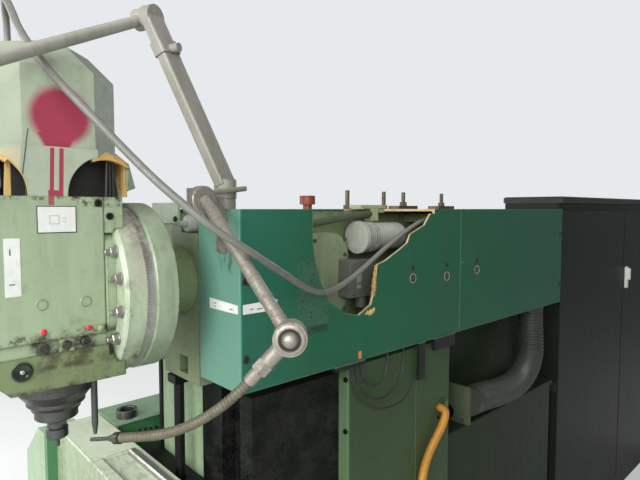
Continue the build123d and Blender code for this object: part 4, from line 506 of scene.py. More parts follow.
teal = dict(paint=(0.014, 0.100, 0.052), chip=(0.30, 0.32, 0.24), wear=0.4, dirt=0.16, gloss=0.34, bump=0.35,
            shine=0.25)
finish = dict(
    lightGreen=agedPaint("lightGreenPaint", (0.33, 0.45, 0.28), wear=0.7, dirt=0.32),
    ramGreen=agedPaint("ramCastingPaint", (0.19, 0.25, 0.125), wear=0.7, dirt=0.5, gloss=0.42),
    headGreen=agedPaint("headGreenPaint", (0.33, 0.41, 0.27), wear=0.75, dirt=0.30, gloss=0.33, decorate=headMarks),
    lowerGreen=agedPaint("lowerHousingPaint", (0.185, 0.24, 0.115), wear=0.9, dirt=0.5, gloss=0.36,
                         decorate=stainsOf("lower")),
    housingGreen=agedPaint("driveHousingPaint", (0.235, 0.35, 0.23), wear=0.6, dirt=0.25, decorate=housingMarks),
    endGreen=agedPaint("endHousingPaint", (0.34, 0.47, 0.31), wear=0.6, dirt=0.25, decorate=endPaintedShade),
    columnGreen=agedPaint("columnGreenPaint", (0.09, 0.14, 0.075)),
    # partly painted shade: the rear housing's green is darkened further for the shade under the ram
    rearGreen=agedPaint("rearHousingPaintedShade", (0.017, 0.028, 0.015), wear=0.4, dirt=0.3, shine=0.12,
                        grime=(0.03, 0.028, 0.02), chip=(0.05, 0.05, 0.04)),
    # partly painted shade: the column's green is darkened further for the shade under the ram
    columnShade=agedPaint("columnPaintedShade", (0.034, 0.066, 0.026), wear=0.4, dirt=0.3, shine=0.3,
                          grime=(0.04, 0.036, 0.022), decorate=columnPaintedLight),
    coverTeal=agedPaint("coverTealPaint", decorate=sideCoverMarks, **teal),
    leftTeal=agedPaint("leftCoverPaint", decorate=frontPaintedLight, **teal),
    moulded=agedPaint("mouldedCoverPaint", (0.39, 0.44, 0.34), wear=0.3, dirt=0.18, gloss=0.5, bump=0.3, shine=0.2,
                      decorate=coverMarks),
    cream=agedPaint("creamPaint", (0.62, 0.68, 0.53), wear=0.6, dirt=0.14, decorate=stainsOf("slide")),
    boomCream=agedPaint("lampBoomPaint", (0.36, 0.35, 0.305), dirt=0.35, decorate=rustSpots),
    saddleCream=agedPaint("saddlePaint", (0.38, 0.46, 0.30), wear=0.7, dirt=0.35, decorate=saddleMarks),
    armCream=agedPaint("lampArmPaint", (0.285, 0.275, 0.245), dirt=0.35, decorate=rustSpots),
    # partly painted shade: the cabinet's grey is darkened further for the shade at the rear
    cabinetGrey=agedPaint("cabinetGreyPaintedShade", (0.015, 0.018, 0.0155), chip=(0.08, 0.08, 0.075), wear=0.3, dirt=0.1,
                          shine=0.12, grime=(0.03, 0.028, 0.02)),
    lidGrey=agedPaint("cabinetLidPaint", (0.022, 0.026, 0.024), chip=(0.2, 0.2, 0.19), wear=0.4, dirt=0.15, shine=0.2),
    plateGrey=agedPaint("plateGreyPaint", (0.30, 0.32, 0.30), wear=0.3, dirt=0.2),
    olive=agedPaint("oliveCastingPaint", (0.26, 0.32, 0.19), wear=0.6, dirt=0.45, gloss=0.42),
    paleOlive=agedPaint("paleOlivePaint", (0.34, 0.38, 0.20), wear=0.6, gloss=0.42),
    bracketOlive=agedPaint("bracketPaint", (0.07, 0.095, 0.055), dirt=0.35, gloss=0.42, shine=0.3),
    motorGrey=agedPaint("motorGreyPaint", (0.42, 0.435, 0.39), wear=0.7, gloss=0.34, bump=1.2),
    boxGrey=agedPaint("terminalBoxPaint", (0.135, 0.145, 0.125), chip=(0.3, 0.3, 0.28), wear=0.7, gloss=0.4),
    wornFlange=agedPaint("wornFlangePaint", (0.42, 0.50, 0.36), chip=(0.16, 0.13, 0.10), wear=1.0, dirt=0.45,
                         decorate=stainsOf("flange")),
    discGreen=agedPaint("swivelDiscPaint", (0.30, 0.37, 0.26), wear=0.8),
    # partly painted shade: the ways' metal is darkened further for the shade under the ram
    wayGrey=agedMetal("wayMetalPaintedShade", (0.024, 0.027, 0.024), stain=(0.008, 0.009, 0.007), amount=0.8, gloss=0.5),
    steel=agedMetal("wornSteel", (0.42, 0.41, 0.38), amount=0.45, gloss=0.34),
    darkSteel=agedMetal("oiledSteel", (0.15, 0.155, 0.145), stain=(0.02, 0.018, 0.014), gloss=0.28),
    blackSteel=agedMetal("blackedSteel", (0.032, 0.034, 0.031), stain=(0.01, 0.01, 0.008), amount=0.6, gloss=0.4),
    rustySteel=agedMetal("rustySteel", (0.16, 0.13, 0.10), stain=(0.08, 0.045, 0.025), amount=0.9, gloss=0.45),
    oilySteel=agedMetal("oilySteel", (0.10, 0.115, 0.085), stain=(0.045, 0.035, 0.02), amount=0.8),
    scaleSteel=agedMetal("scaleSteel", (0.62, 0.63, 0.60), amount=0.4, gloss=0.45, decorate=scaleMarks),
    pipeSteel=agedMetal("wornPipe", (0.40, 0.38, 0.33), stain=(0.10, 0.07, 0.045), amount=0.8, gloss=0.45),
    aluminium=agedMetal("dullAluminium", (0.62, 0.62, 0.58), amount=0.3, gloss=0.38),
    conduitGrey=agedPaint("conduitGrey", (0.18, 0.178, 0.165), chip=(0.10, 0.08, 0.06), dirt=0.35, gloss=0.42),
    greasyHose=agedPaint("greasyHose", (0.135, 0.118, 0.082), chip=(0.05, 0.045, 0.035), grime=(0.045, 0.038, 0.024),
                         dirt=0.75, gloss=0.5, bump=1.5),
    trunkGrey=agedPaint("trunkGrey", (0.036, 0.043, 0.036), wear=0.2, dirt=0.25, gloss=0.36, shine=0.35,
                        grime=(0.05, 0.045, 0.03)),
    whitePlastic=agedPaint("whitePlastic", (0.75, 0.75, 0.72), wear=0.1, dirt=0.15, gloss=0.4),
    labelWhite=agedPaint("labelPaper", (0.72, 0.73, 0.70), wear=0.1, dirt=0.2, gloss=0.5, bump=0.2),
    redPlastic=agedPaint("redPlastic", (0.22, 0.032, 0.02), wear=0.3, dirt=0.3, gloss=0.4),
    plugRed=agedPaint("plugRed", (0.60, 0.03, 0.045), wear=0.1, dirt=0.12, gloss=0.35),
    foam=agedPaint("rawFoam", (0.56, 0.33, 0.10), chip=(0.5, 0.42, 0.22), wear=0.8, dirt=0.3, gloss=0.7, bump=3.0),
    darkFoam=agedPaint("oldFoam", (0.36, 0.20, 0.07), chip=(0.42, 0.32, 0.13), wear=0.8, dirt=0.3, gloss=0.7, bump=3.0),
    amber=agedPaint("amberPlastic", (0.45, 0.20, 0.014), chip=(0.3, 0.2, 0.1), wear=0.2, dirt=0.3, gloss=0.32),
    darkGlass=agedPaint("sightGlass", (0.018, 0.026, 0.018), wear=0.1, dirt=0.1, gloss=0.05, bump=0.1),
    ink=agedPaint("blackInk", (0.015, 0.015, 0.015), wear=0.1, dirt=0.1, gloss=0.4, bump=0.2),
    blackRubber=agedPaint("blackRubber", (0.016, 0.016, 0.016), chip=(0.04, 0.04, 0.04), wear=0.2, dirt=0.2, gloss=0.5),
)

# Nodes by finish; the hoses' own nodes are replaced below
nodeFinish = dict(
    columnGreen="base_casting", columnShade="column", wayGrey="vertical_ways knee_carriage", rearGreen="rear_housing",
    blackSteel="upright_tube ram_way", lightGreen="screw_cover ram_top_plate", lidGrey="cabinet_lid",
    cabinetGrey="cable_duct cabinet_shell front_cabinet_door rear_cabinet_door", plateGrey="mounting_plate",
    whitePlastic="door_latch", bracketOlive="conduit_bracket", housingGreen="drive_housing",
    saddleCream="cross_slide", cream="slide_cover", steel="scale_rail angle_table", endGreen="slide_end_housing",
    ramGreen="ram_casting", coverTeal="ram_right_cover", leftTeal="ram_left_cover", discGreen="swivel_disc",
    scaleSteel="swivel_scale", wornFlange="clamp_flange", headGreen="head_neck head_body",
    lowerGreen="lower_housing", moulded="motor_cover", ink="head_motor", olive="gear_housing",
    darkSteel="levelling_feet cable_grommet bearing_cap spindle_nose tool_holder coolant_rod coolant_nozzle",
    motorGrey="feed_motor", boxGrey="terminal_box", rustySteel="lifting_studs", redPlastic="oil_filler",
    armCream="lamp_base lamp_arm", boomCream="lamp_boom", pipeSteel="coolant_bracket coolant_joint coolant_pipe",
    blackRubber="conduit_gland",
)
for finishName, names in nodeFinish.items():
    for name in names.split():
        for slot in node[name].material_slots:
            slot.material = finish[finishName]
print("finishes made")


# New pieces: points in metres, faces turned outward, riding on a body
def addPiece(name, points, faces, paint, slot, body="ram", bevel=0.0, smooth=False):
    data = bpy.data.meshes.new(name)
    data.from_pydata(np.asarray(points, dtype=float).reshape(-1, 3).tolist(), [], faces)
    shape = bmesh.new()
    shape.from_mesh(data)
    bmesh.ops.recalc_face_normals(shape, faces=shape.faces)
    shape.to_mesh(data)
    shape.free()
    if smooth:
        data.polygons.foreach_set("use_smooth", [True] * len(data.polygons))
        data.set_sharp_from_angle(angle=math.radians(40))
    piece = bpy.data.objects.new(name, data)
    bpy.context.scene.collection.objects.link(piece)
    data.materials.append(finish[paint])
    if bevel:
        rounding = piece.modifiers.new("bevel", "BEVEL")
        rounding.width = bevel / 1000
        rounding.segments = 2
        rounding.limit_method = "ANGLE"
    if body:
        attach(piece, body)
    return piece


def ringPiece(name, rings, paint, slot, **look):
    return addPiece(name, rings, gridFaces(*rings.shape[:2]), paint, slot, **look)


def turnedRings(profile, origin, axis, sides):
    # rings of a profile of (way along, radius) pairs in millimetres, turned round an axis
    along = np.asarray(axis, dtype=float) / np.linalg.norm(axis)
    across = np.cross(along, (0.0, 0.0, 1.0) if abs(along[2]) < 0.9 else (1.0, 0.0, 0.0))
    across /= np.linalg.norm(across)
    other = np.cross(along, across)
    profile = np.asarray(profile, dtype=float)
    turn = np.linspace(0, 2 * np.pi, sides, endpoint=False)[None, :, None]
    return (np.asarray(origin, dtype=float) + profile[:, 0][:, None, None] * along
            + profile[:, 1][:, None, None] * (across * np.cos(turn) + other * np.sin(turn))) / 1000


def turnedPieces(name, paint, slot, *shapes, body="ram"):
    # one joined mesh of turned shapes, each a profile's name, its axis, its sides and its places
    points, faces, count = [], [], 0
    for key, axis, sides, places in shapes:
        for place in places:
            points.append(turnedRings(profiles[key], place, axis, sides).reshape(-1, 3))
            faces += [[corner + count for corner in face] for face in gridFaces(len(profiles[key]), sides)]
            count += len(points[-1])
    return addPiece(name, np.concatenate(points), faces, paint, slot, body=body, smooth=True)


def slabPieces(name, paint, slot, boxes, bevel=0.4, body="ram"):
    # one joined mesh of plates, each given by its low and high corners in millimetres
    corners = np.array([(x, y, z) for x in (0, 1) for y in (0, 1) for z in (0, 1)])
    quads = np.array([(0, 1, 3, 2), (4, 6, 7, 5), (0, 4, 5, 1), (2, 3, 7, 6), (0, 2, 6, 4), (1, 5, 7, 3)])
    low, high = np.array([box[0] for box in boxes]), np.array([box[1] for box in boxes])
    points = low[:, None, :] + corners[None] * (high - low)[:, None, :]
    faces = (quads[None] + 8 * np.arange(len(boxes))[:, None, None]).reshape(-1, 4).tolist()
    return addPiece(name, points / 1000, faces, paint, slot, body=body, bevel=bevel)


def prismPieces(name, paint, slot, shapes, bevel):
    # one joined mesh of prisms: (low corners in turn, high corners in turn) in millimetres
    points, faces, count = [], [], 0
    for low, high in shapes:
        size = len(low)
        points += low + high
        faces += [[count + i for i in range(size)], [count + size + i for i in range(size)]]
        faces += [[count + i, count + (i + 1) % size, count + size + (i + 1) % size, count + size + i]
                  for i in range(size)]
        count += 2 * size
    return addPiece(name, np.array(points) / 1000, faces, paint, slot, bevel=bevel)


for name, cord in cords.items():
    line = routeLine(cord["points"])
    ribbed = cord.get("ribbed")
    if ribbed:
        rings = ribbedTube(line, cord["radius"], ribbed["groove"], ribbed["pitch"], 16, 5)
        piece = ringPiece(name, rings, cord["paint"], cord["slot"], body=cord["body"], smooth=True)
    else:
        data = nurbsCurve(name, cord["points"], cord["radius"])
        data.materials.append(finish[cord["paint"]])
        piece = bpy.data.objects.new(name, data)
        bpy.context.scene.collection.objects.link(piece)
        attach(piece, cord["body"])
    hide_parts(cord["node"])
trunkRings = ribbedTube(routeLine(trunk["points"]), *(trunk[key] for key in (
    "radius", "groove", "pitch", "sides", "steps", "cuff")))
trunkPiece = ringPiece("corrugatedConduit", trunkRings, "trunkGrey", "grey_conduit", body=None, smooth=True)
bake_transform(trunkPiece)
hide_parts("corrugated_conduit")
print("hoses made")


# Profiles of the small turned parts: (way along the axis, radius) in millimetres
profiles = dict(
    plug=[(-1, 11.4), (1.0, 11.4), (2.0, 10.4), (2.0, 9), (1.0, 8.6), (1.0, 0.5)],
    screw=[(-1, 7.5), (3.4, 7.5), (4.2, 6.8), (4.2, 4.0), (1.4, 3.7), (1.4, 0.4)],
    redPlug=[(-1, 5.8), (1.2, 5.8), (2.4, 4.6), (2.8, 0.4)],
    palePlug=[(-1, 6.8), (1.5, 6.8), (3, 5.2), (3.4, 0.4)],
    flatKnob=[(-3, 12), (1.5, 12), (2.2, 11), (2.2, 5), (0.8, 4.5), (0.8, 0.4)],
    roundKnob=[(-8, 8.8), (3, 8.8), (5, 7.4), (5, 0.4)],
    sunkKnob=[(-6, 9.4), (1, 9.4), (2, 8.4), (2, 5.0), (-1, 4.6), (-1, 0.4)],
    glass=[(-0.6, 11.8), (0.8, 11.4), (1.6, 9.0), (1.8, 0.3)],
    glassRim=[(4.2, 18.6), (5.6, 18.6), (6.2, 17.8), (6.0, 12.6), (5.2, 11.6), (5.2, 0.4)],
    glassStud=[(4, 4.4), (7.6, 4.2), (8.6, 3.0), (8.8, 0.3)],
    washer=[(-1, 14), (2, 14), (2.6, 13), (2.6, 0.5)],
    nut=[(2, 11.5), (13, 11.5), (14.5, 10), (14.5, 0.5)],
    stud=[(13, 6), (24, 6), (25, 5), (25, 0.4)],
    cable=[(0, 3.6), (88, 3.6)],
    gland=[(0, 15), (10, 18), (14, 22), (60, 22), (64, 20), (64, 8), (86, 7)],
    coverScrew=[(-2, 9), (1.6, 9), (2.6, 8), (2.6, 4.6), (0.4, 4.2), (0.4, 0.4)],
    coverPlug=[(-2, 16), (1.2, 16), (2.0, 15.2), (2.0, 13.6), (0.8, 12.8), (0.8, 0.4)],
    coverHole=[(-2, 8), (0.6, 8), (0.8, 7), (0.8, 0.4)],
    coverRecess=[(-2, 11), (1.3, 11), (1.4, 0.4)],
    coverCentre=[(-1, 6.5), (2.2, 6.5), (2.6, 5.6), (2.6, 0.4)],
    terminalScrew=[(-1, 4.6), (2.4, 4.6), (3, 3.6), (3, 0.4)],
    gearScrew=[(-1, 6), (3.6, 6), (4.4, 5.2), (4.4, 3), (2, 2.8), (2, 0.4)],
    panelHole=[(-0.8, 5.5), (0.5, 5.5), (0.6, 0.4)],
    jointCap=[(-1, 27), (2, 27), (3.5, 25), (3.5, 20.5), (0.8, 19.5), (0.8, 15), (4, 14), (9, 12), (12, 7.5),
              (13, 0.5)],
    jointRing=[(-0.5, 19.2), (1.4, 19.2), (1.4, 0.4)],
    pipeBand=[(-3, 12), (-2.4, 13.8), (2.4, 13.8), (3, 12)],
    bracketBolt=[(-1, 7), (4, 7), (5, 6), (5, 0.4)],
)
towardX, towardFront = (1, 0, 0), (0, -1, 0)


def onSide(x, *places):
    return [(x, y, z) for y, z in places]


# Head: plugs, screws, plate and label on its +X side
headLook = dict(face=140, plate=((-870, 1703), (-798, 1756)), rim=1.6, strip=((-927, 1585), (-900, 1695)),
                lines=(((-14, 4), (8, 7)), ((-14, -13), (8, -9)), ((-14, 4), (-8, -9)), ((3, 4), (8, -9)),
                       ((9, 17), (3, 2)), ((9, 17), (-3, -4))))
headFace = headLook["face"]
turnedPieces("headGreenPlugs", "headGreen", "light_green_paint",
             ("plug", towardX, 28, onSide(headFace, (-866, 1564), (-784, 1561))))
turnedPieces("headRedPlugs", "plugRed", "red_plastic",
             ("redPlug", towardX, 24, onSide(headFace, (-864, 1510), (-779, 1505))))
turnedPieces("headPalePlug", "paleOlive", "olive_casting", ("palePlug", towardX, 24, onSide(headFace, (-755, 1501))))
turnedPieces("headScrews", "blackSteel", "machined_steel",
             ("screw", towardX, 24, onSide(headFace, (-755, 1762), (-732, 1735))))
turnedPieces("waistKnobs", "oilySteel", "machined_steel", ("flatKnob", towardX, 28, [(141, -866, 1477)]),
             ("roundKnob", towardX, 24, [(139, -822, 1477)]), ("sunkKnob", towardX, 24, [(139, -785, 1477)]))
turnedPieces("sightGlass", "darkGlass", "dark_motor", ("glass", towardX, 28, [(134.5, -903, 1438)]),
             ("glassRim", towardX, 36, [(134, -903, 1438)]))
turnedPieces("sightStud", "aluminium", "machined_steel", ("glassStud", towardX, 20, [(134, -903, 1438)]))
(plateY, plateZ), (plateY2, plateZ2) = headLook["plate"]
rim = headLook["rim"]
middleY, middleZ = (plateY + plateY2) / 2, (plateZ + plateZ2) / 2
slabPieces("plateRim", "ink", "dark_motor", [((139.5, plateY, plateZ), (141.2, plateY2, plateZ2))], 0.3)
slabPieces("diagramPlate", "labelWhite", "white_plastic",
           [((140.5, plateY + rim, plateZ + rim), (142.0, plateY2 - rim, plateZ2 - rim))], 0.3)
slabPieces("diagramLines", "motorGrey", "dark_motor",
           [((141.8, middleY + left, middleZ + low), (142.3, middleY + right, middleZ + high))
            for (left, right), (high, low) in headLook["lines"]], 0)
(stripY, stripZ), (stripY2, stripZ2) = headLook["strip"]
slabPieces("headStrip", "labelWhite", "white_plastic", [((139.8, stripY, stripZ), (140.7, stripY2, stripZ2))], 0.2)
slabPieces("headStripMarks", "ink", "dark_motor",
           [((140.5, stripY + 7, stripZ + 22), (140.9, stripY + 17, stripZ + 24)),
            ((140.5, stripY + 9, stripZ + 78), (140.9, stripY + 11, stripZ + 90))], 0)
print("head details made")


# Swivel: bolts that clamp the head, hexagon nuts on studs with washers
clampBolts = dict(seat=-724, places=((151, 1660), (173, 1605), (175, 1536), (153, 1476)))
boltPlaces = [(side * x, clampBolts["seat"], z) for side in (1, -1) for x, z in clampBolts["places"]]
turnedPieces("clampBolts", "steel", "machined_steel", ("washer", towardFront, 28, boltPlaces),
             ("nut", towardFront, 6, boltPlaces), ("stud", towardFront, 20, boltPlaces))


# Motor cover: raw edge of its archways, and the cables that stand in the rear one
arches = (dict(y=-732, wide=80, tall=84, fromTurn=53.5, toTurn=112),
          dict(y=-953, wide=70, tall=88, fromTurn=52, toTurn=80))
archBase = dict(z=1775, depth=15, thick=7, half=130.0, ledge=1873, step=3.0, flare=7.0, rise=98.0, front=-953.0,
                corner=65.0, inset=0.3)


def archBand(name, arch, side):
    # band inside an elliptical arch, flush with the flared wall and the cut-off corners beside it
    turn = np.radians(np.linspace(arch["fromTurn"], arch["toTurn"], 40))
    thick, depth = archBase["thick"], archBase["depth"]
    ring = []
    for inward, back in ((0, 0), (thick, 0), (thick, depth), (0, depth)):
        y = arch["y"] + (arch["wide"] - inward) * np.cos(turn)
        z = archBase["z"] + (arch["tall"] - inward) * np.sin(turn)
        grow = archBase["step"] + archBase["flare"] * (archBase["ledge"] - z) / archBase["rise"]
        pastFront = (archBase["front"] - grow + archBase["corner"]) - y
        x = archBase["half"] + grow - np.maximum(pastFront, 0) - archBase["inset"] - back
        ring.append(np.stack([side * x, y, z], axis=1))
    ringPiece(name, np.stack(ring, axis=1) / 1000, "foam", "cream_paint", bevel=1.5)


for index, arch in enumerate(arches):
    archBand(f"archEdgeRight{index + 1}", arch, 1)
    archBand(f"archEdgeLeft{index + 1}", arch, -1)
archCorner = dict(
    archJambs=("foam", "cream_paint", 0.6,
               [(107, -692, 1776), (127, -690, 1776), (125, -686.5, 1776), (106, -688, 1776)],
               [(54, -692, 1846), (117, -690, 1846), (116, -686.5, 1846), (54, -688, 1846)]),
    archLegs=("discGreen", "light_green_paint", 1.0,
              [(125, -687, 1788), (116, -664, 1796), (106, -676, 1790), (107, -687, 1788)],
              [(117, -687, 1846), (118, -678, 1846), (100, -680, 1846), (90, -687, 1846)]),
    archShoulders=("moulded", "moulded_cover", 0.5,
                   [(133.6, -748, 1859), (134, -716, 1858), (134.6, -684, 1845), (71, -684, 1846)],
                   [(132.6, -749, 1872.5), (110, -727, 1872.5), (89, -706, 1872.5), (69, -686, 1872.5)]),
    frontJambs=("foam", "cream_paint", 0.6, [(76, -906, 1776), (84, -900, 1776), (80, -912, 1776)],
                [(76, -905, 1852), (82, -886, 1852), (78, -908, 1852)]))
for name, (paint, slot, bevel, low, high) in archCorner.items():
    bothSides = [([(side * x, y, z) for x, y, z in low], [(side * x, y, z) for x, y, z in high]) for side in (1, -1)]
    prismPieces(name, paint, slot, bothSides, bevel)
# painted shade: black plates inside the archways stand for the shade within the cover
slabPieces("archBacks", "ink", "dark_motor",
           [((-68, -702, 1776), (68, -696, 1866)), ((84, -806, 1776), (88, -716, 1858)),
            ((-88, -806, 1776), (-84, -716, 1858)), ((84, -900, 1776), (88, -876, 1850)),
            ((-88, -900, 1776), (-84, -876, 1850))], 0.5)
turnedPieces("archCables", "blackRubber", "black_rubber",
             *(("cable", (0, 0.02 * i, 1), 14, [(112 + 4 * i, -712 - 9 * i, 1775)]) for i in range(3)))
print("swivel and arch details made")


# Ram front: grey cable gland in the notch, and the plate beside it
turnedPieces("notchGland", "motorGrey", "dark_motor", ("gland", towardFront, 32, [(52, -444, 1713)]))
slabPieces("ramFrontPlate", "lightGreen", "light_green_paint", [((-147, -507, 1711), (8, -500.2, 1767))], 1.5)
turnedPieces("ramPlateScrews", "blackSteel", "machined_steel",
             ("screw", towardFront, 20, [(-132, -507, 1724), (-6, -507, 1724)]))


# Ram cover: labels, screws, plugs and the raw foam at the break
coverFace, labelLift = 280, 0.7
frontLabel = [(149, -500.3, 1512), (270, -500.3, 1513), (270, -500.3, 1533), (149, -500.3, 1537)]
sideLabel = [(280.3, -494, 1513), (280.3, -397, 1512), (280.3, -397, 1537), (280.3, -494, 1535)]
prismPieces("frontLabel", "labelWhite", "white_plastic",
            [(frontLabel, [(x, y - labelLift, z) for x, y, z in frontLabel])], 0)
prismPieces("sideLabel", "labelWhite", "white_plastic",
            [(sideLabel, [(x + labelLift, y, z) for x, y, z in sideLabel])], 0)
slabPieces("labelMarks", "ink", "dark_motor",
           [((168, -501.4, 1526), (180, -500.8, 1528)), ((170, -501.4, 1518), (178, -500.8, 1520)),
            ((236, -501.4, 1520), (250, -500.8, 1522)), ((280.8, -474, 1522), (281.4, -466, 1524)),
            ((280.8, -456, 1520), (281.4, -440, 1522))], 0)
turnedPieces("coverScrews", "ink", "dark_motor",
             ("coverScrew", towardX, 24, onSide(coverFace, (-487, 1587), (-487, 1409), (1212, 1640), (1212, 1409))))
highPlaces = onSide(coverFace, (130, 1570), (314, 1565), (502, 1567))
lowPlaces = onSide(coverFace, (130, 1538), (314, 1528), (502, 1534))
turnedPieces("coverPlugs", "boxGrey", "machined_steel", ("coverPlug", towardX, 32, lowPlaces))
# painted shade: black discs stand for the shade inside the holes and the recesses of the plugs
turnedPieces("coverHoles", "ink", "dark_motor", ("coverHole", towardX, 20, highPlaces),
             ("coverRecess", towardX, 24, lowPlaces))
turnedPieces("coverCentres", "rustySteel", "machined_steel", ("coverCentre", towardX, 20, lowPlaces))
foamLook = dict(
    foamRight=dict(radius=6.5, paint="darkFoam", points=[
        (273, -38, 1590), (274, -40, 1566), (275, -44, 1540), (275, -46, 1514), (274, -52, 1492), (273, -60, 1478)]),
    foamBelow=dict(radius=8.0, paint="foam", points=[
        (273, -36, 1476), (276, -52, 1462), (276, -74, 1458), (273, -100, 1462)]))


def lumpyTube(name, radius, paint, points):
    # tube whose radius swells and sinks with sums of sines along and round it, closing to its ends
    rows, sides = 48, 18
    line = routeLine(points)
    along = np.linspace(0, 1, rows)[:, None]
    turn = np.linspace(0, 2 * np.pi, sides, endpoint=False)[None, :]
    swell = 1 + 0.22 * np.sin(37 * along) * np.cos(2 * turn) + 0.16 * np.sin(61 * along + 3 * turn)
    size = radius / 1000 * swell * np.sqrt(np.sin(np.pi * np.clip(along, 0.02, 0.98)))
    centre = placesAt(line, np.arange(len(line)), np.linspace(0, len(line) - 1, rows))
    ringPiece(name, ringsAlong(centre, size, sides), paint, "cream_paint", smooth=True)


for name, look in foamLook.items():
    lumpyTube(name, **look)


# Behind the break: the oil pipe, its bracket, and the plate on the terminal box
oilPipe = dict(radius=12, points=[(90, -322, 1676), (140, -312, 1690), (162, -262, 1700), (165, -179, 1709),
                                  (161, -106, 1720), (156, -22, 1728), (150, 46, 1733), (140, 84, 1735)])
ringPiece("oilPipe", ribbedTube(routeLine(oilPipe["points"]), oilPipe["radius"], 0, 20, 20, 3), "bracketOlive",
          "olive_casting", smooth=True)
slabPieces("motorBracket", "paleOlive", "olive_casting",
           [((100, 34, 1751), (150, 158, 1763)), ((118, 84, 1712), (150, 118, 1752)),
            ((100, 120, 1738), (146, 152, 1752))], 1.2)
slabPieces("terminalPlate", "plateGrey", "machined_steel",
           [((189.5, -26, 1530), (191.2, -4, 1556)), ((189.5, -24, 1512), (191, -6, 1524))])
turnedPieces("terminalScrews", "steel", "machined_steel",
             ("terminalScrew", towardX, 16, onSide(190, (-44, 1588), (50, 1588), (-44, 1497), (50, 1497))))
turnedPieces("gearScrews", "bracketOlive", "machined_steel",
             ("gearScrew", towardX, 18, onSide(140, (-268, 1658), (-268, 1545), (-268, 1447), (-27, 1658), (-27, 1612),
                                               (-27, 1447), (-150, 1447), (-150, 1658))))
print("ram details made")


# Knee: the holes in the drive housing's sunk panel, as black discs in a falling row, painted shade for the inside of
# the holes
panelHoles = dict(face=-406, first=1011, drop=0.118, y=(-445, -425, -406, -386))
holePlaces = [(y, panelHoles["first"] - panelHoles["drop"] * (y - panelHoles["y"][0])) for y in panelHoles["y"]]
turnedPieces("panelHoles", "ink", "dark_motor", ("panelHole", towardX, 18, onSide(panelHoles["face"], *holePlaces)),
             body="knee")
print("knee details made")


# Coolant arm: turned cap on the outer joint, and the bands on the pipe
armLook = dict(first=(256, -572, 1770), second=(552, -580, 1527), half=18, towards=-43, bands=(0.62, 0.76, 0.9))
towards = math.radians(armLook["towards"])
outward = np.array((math.cos(towards), math.sin(towards), 0))
capPlace = np.array(armLook["second"]) + outward * armLook["half"]
turnedPieces("jointCaps", "pipeSteel", "machined_steel", ("jointCap", outward, 40, [capPlace]))
turnedPieces("jointRing", "ink", "dark_motor", ("jointRing", outward, 40, [capPlace]))
pipeFrom, pipeTo = np.array(armLook["first"], dtype=float), np.array(armLook["second"], dtype=float)
pipeAxis = (pipeTo - pipeFrom) / np.linalg.norm(pipeTo - pipeFrom)
turnedPieces("pipeBands", "pipeSteel", "machined_steel",
             ("pipeBand", pipeAxis, 32, [pipeFrom + (pipeTo - pipeFrom) * share for share in armLook["bands"]]))
print("coolant arm details made")


# Column, housing and cabinet: screws, bracket bolts and hinge leaves
standLook = dict(columnFace=-136, screwX=(-254, 254), screwRows=(1276, 1128, 860, 560, 300), bracketFace=497,
                 bolts=((240, 1086), (164, 1086), (240, 975)), hingeY=(1346, 3156), hingeRows=(300, 930, 1560))
turnedPieces("columnScrews", "blackSteel", "machined_steel",
             ("screw", towardFront, 20, [(x, standLook["columnFace"], z) for x in standLook["screwX"]
                                         for z in standLook["screwRows"]]), body="stand")
turnedPieces("bracketBolts", "rustySteel", "machined_steel",
             ("bracketBolt", towardFront, 6, [(x, standLook["bracketFace"], z) for x, z in standLook["bolts"]]),
             body="stand")
slabPieces("hingeLeaves", "lidGrey", "cabinet_grey",
           [((190, y, z - 62), (222, y + 4, z - 22)) for y in standLook["hingeY"] for z in standLook["hingeRows"]],
           0.8, "stand")
print("stand details made")


# Soft studio light: a key from the front right, windows on both sides and behind, open ceiling
studio = dict(
    keyLight=dict(place=(1.4, -4.0, 3.0), target=(0.1, -0.4, 1.5), size=(2.6, 2.2), watts=200, tint=(1.0, 0.995, 0.98)),
    sideLight=dict(place=(3.3, -2.2, 2.8), target=(0.1, -0.4, 1.4), size=(1.8, 1.8), watts=70),
    windowLight=dict(place=(-3.2, -3.0, 2.6), target=(-0.1, -0.2, 1.3), size=(2.4, 2.0), watts=90),
    backLight=dict(place=(-2.6, 5.0, 3.0), target=(0.0, 1.0, 1.2), size=(2.4, 2.0), watts=90),
    ceilingLight=dict(place=(0.2, 0.2, 4.4), target=(0.1, 0.2, 0.0), size=(3.0, 4.0), watts=26),
)
room = dict(tint=(0.90, 0.93, 0.92), strength=0.26, backdrop=(0.80, 0.82, 0.84))


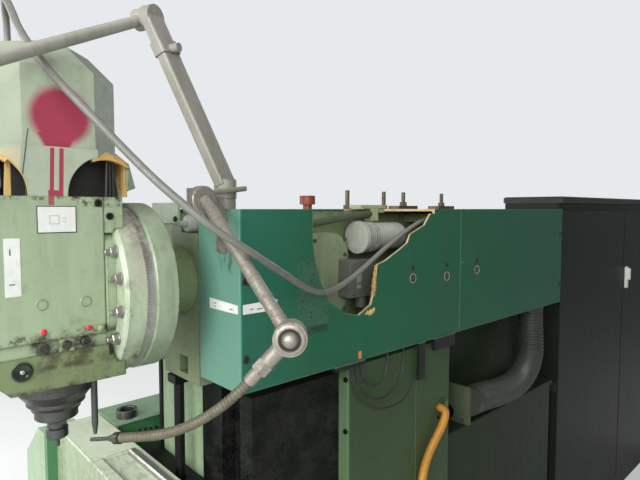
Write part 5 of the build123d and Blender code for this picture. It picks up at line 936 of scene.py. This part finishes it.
def areaLight(name, place, target, size, watts, tint=(1, 1, 1)):
    data = bpy.data.lights.new(name, "AREA")
    data.shape = "RECTANGLE"
    data.size, data.size_y = size
    data.energy = watts
    data.color = tint
    lamp = bpy.data.objects.new(name, data)
    lamp.location = place
    lamp.rotation_euler = (Vector(target) - Vector(place)).to_track_quat("-Z", "Y").to_euler()
    lamp.visible_camera = False
    bpy.context.scene.collection.objects.link(lamp)


for name, look in studio.items():
    areaLight(name, **look)
world = bpy.data.worlds.new("roomLight")
bpy.context.scene.world = world
world.use_nodes = True
sky = Brush(world.node_tree)
roomLight = world.node_tree.nodes["Background"]
sky.put(room["tint"], roomLight.inputs["Color"])
sky.put(room["strength"], roomLight.inputs["Strength"])
backdrop = sky.add("ShaderNodeBackground", {"Color": room["backdrop"], "Strength": 1.0})["Background"]
ray = sky.add("ShaderNodeLightPath", {})
seen = sky.larger(ray["Is Camera Ray"], ray["Is Transmission Ray"])
pick = sky.add("ShaderNodeMixShader", {"Fac": seen, 1: roomLight.outputs["Background"], 2: backdrop})["Shader"]
sky.put(pick, world.node_tree.nodes["World Output"].inputs["Surface"])


# Pale floor, wide enough to reach the horizon, that brightens with distance for the camera alone
floorLook = dict(half=40.0, tones=((0.74, 0.75, 0.75), (0.79, 0.80, 0.80)), rough=0.75, glow=(0.98, 0.99, 1.0),
                 nearGlow=0.10, farGlow=0.46, glowFrom=0.5, glowTo=9.0)
floorMaterial, ground, floorShader = startMaterial("paleFloor")
tone = ground.ramp(ground.noise(3.0, 4.0, 0.55), 0.2, 0.8)
ground.put(ground.mix(tone, *floorLook["tones"]), floorShader["Base Color"])
ground.put(floorLook["rough"], floorShader["Roughness"])
ground.put(floorLook["glow"], floorShader["Emission Color"])
away = ground.ramp(ground.vectors("LENGTH", ground.where, output="Value"), floorLook["glowFrom"], floorLook["glowTo"])
glow = ground.plus(ground.times(away, floorLook["farGlow"]), floorLook["nearGlow"])
ground.put(ground.times(glow, ground.add("ShaderNodeLightPath", {})["Is Camera Ray"]),
           floorShader["Emission Strength"])
half = floorLook["half"]
floorData = bpy.data.meshes.new("paleFloor")
floorData.from_pydata([(-half, -half, 0), (half, -half, 0), (half, half, 0), (-half, half, 0)], [], [(0, 1, 2, 3)])
floorData.materials.append(floorMaterial)
floor = bpy.data.objects.new("paleFloor", floorData)
bpy.context.scene.collection.objects.link(floor)

print("scene finished")
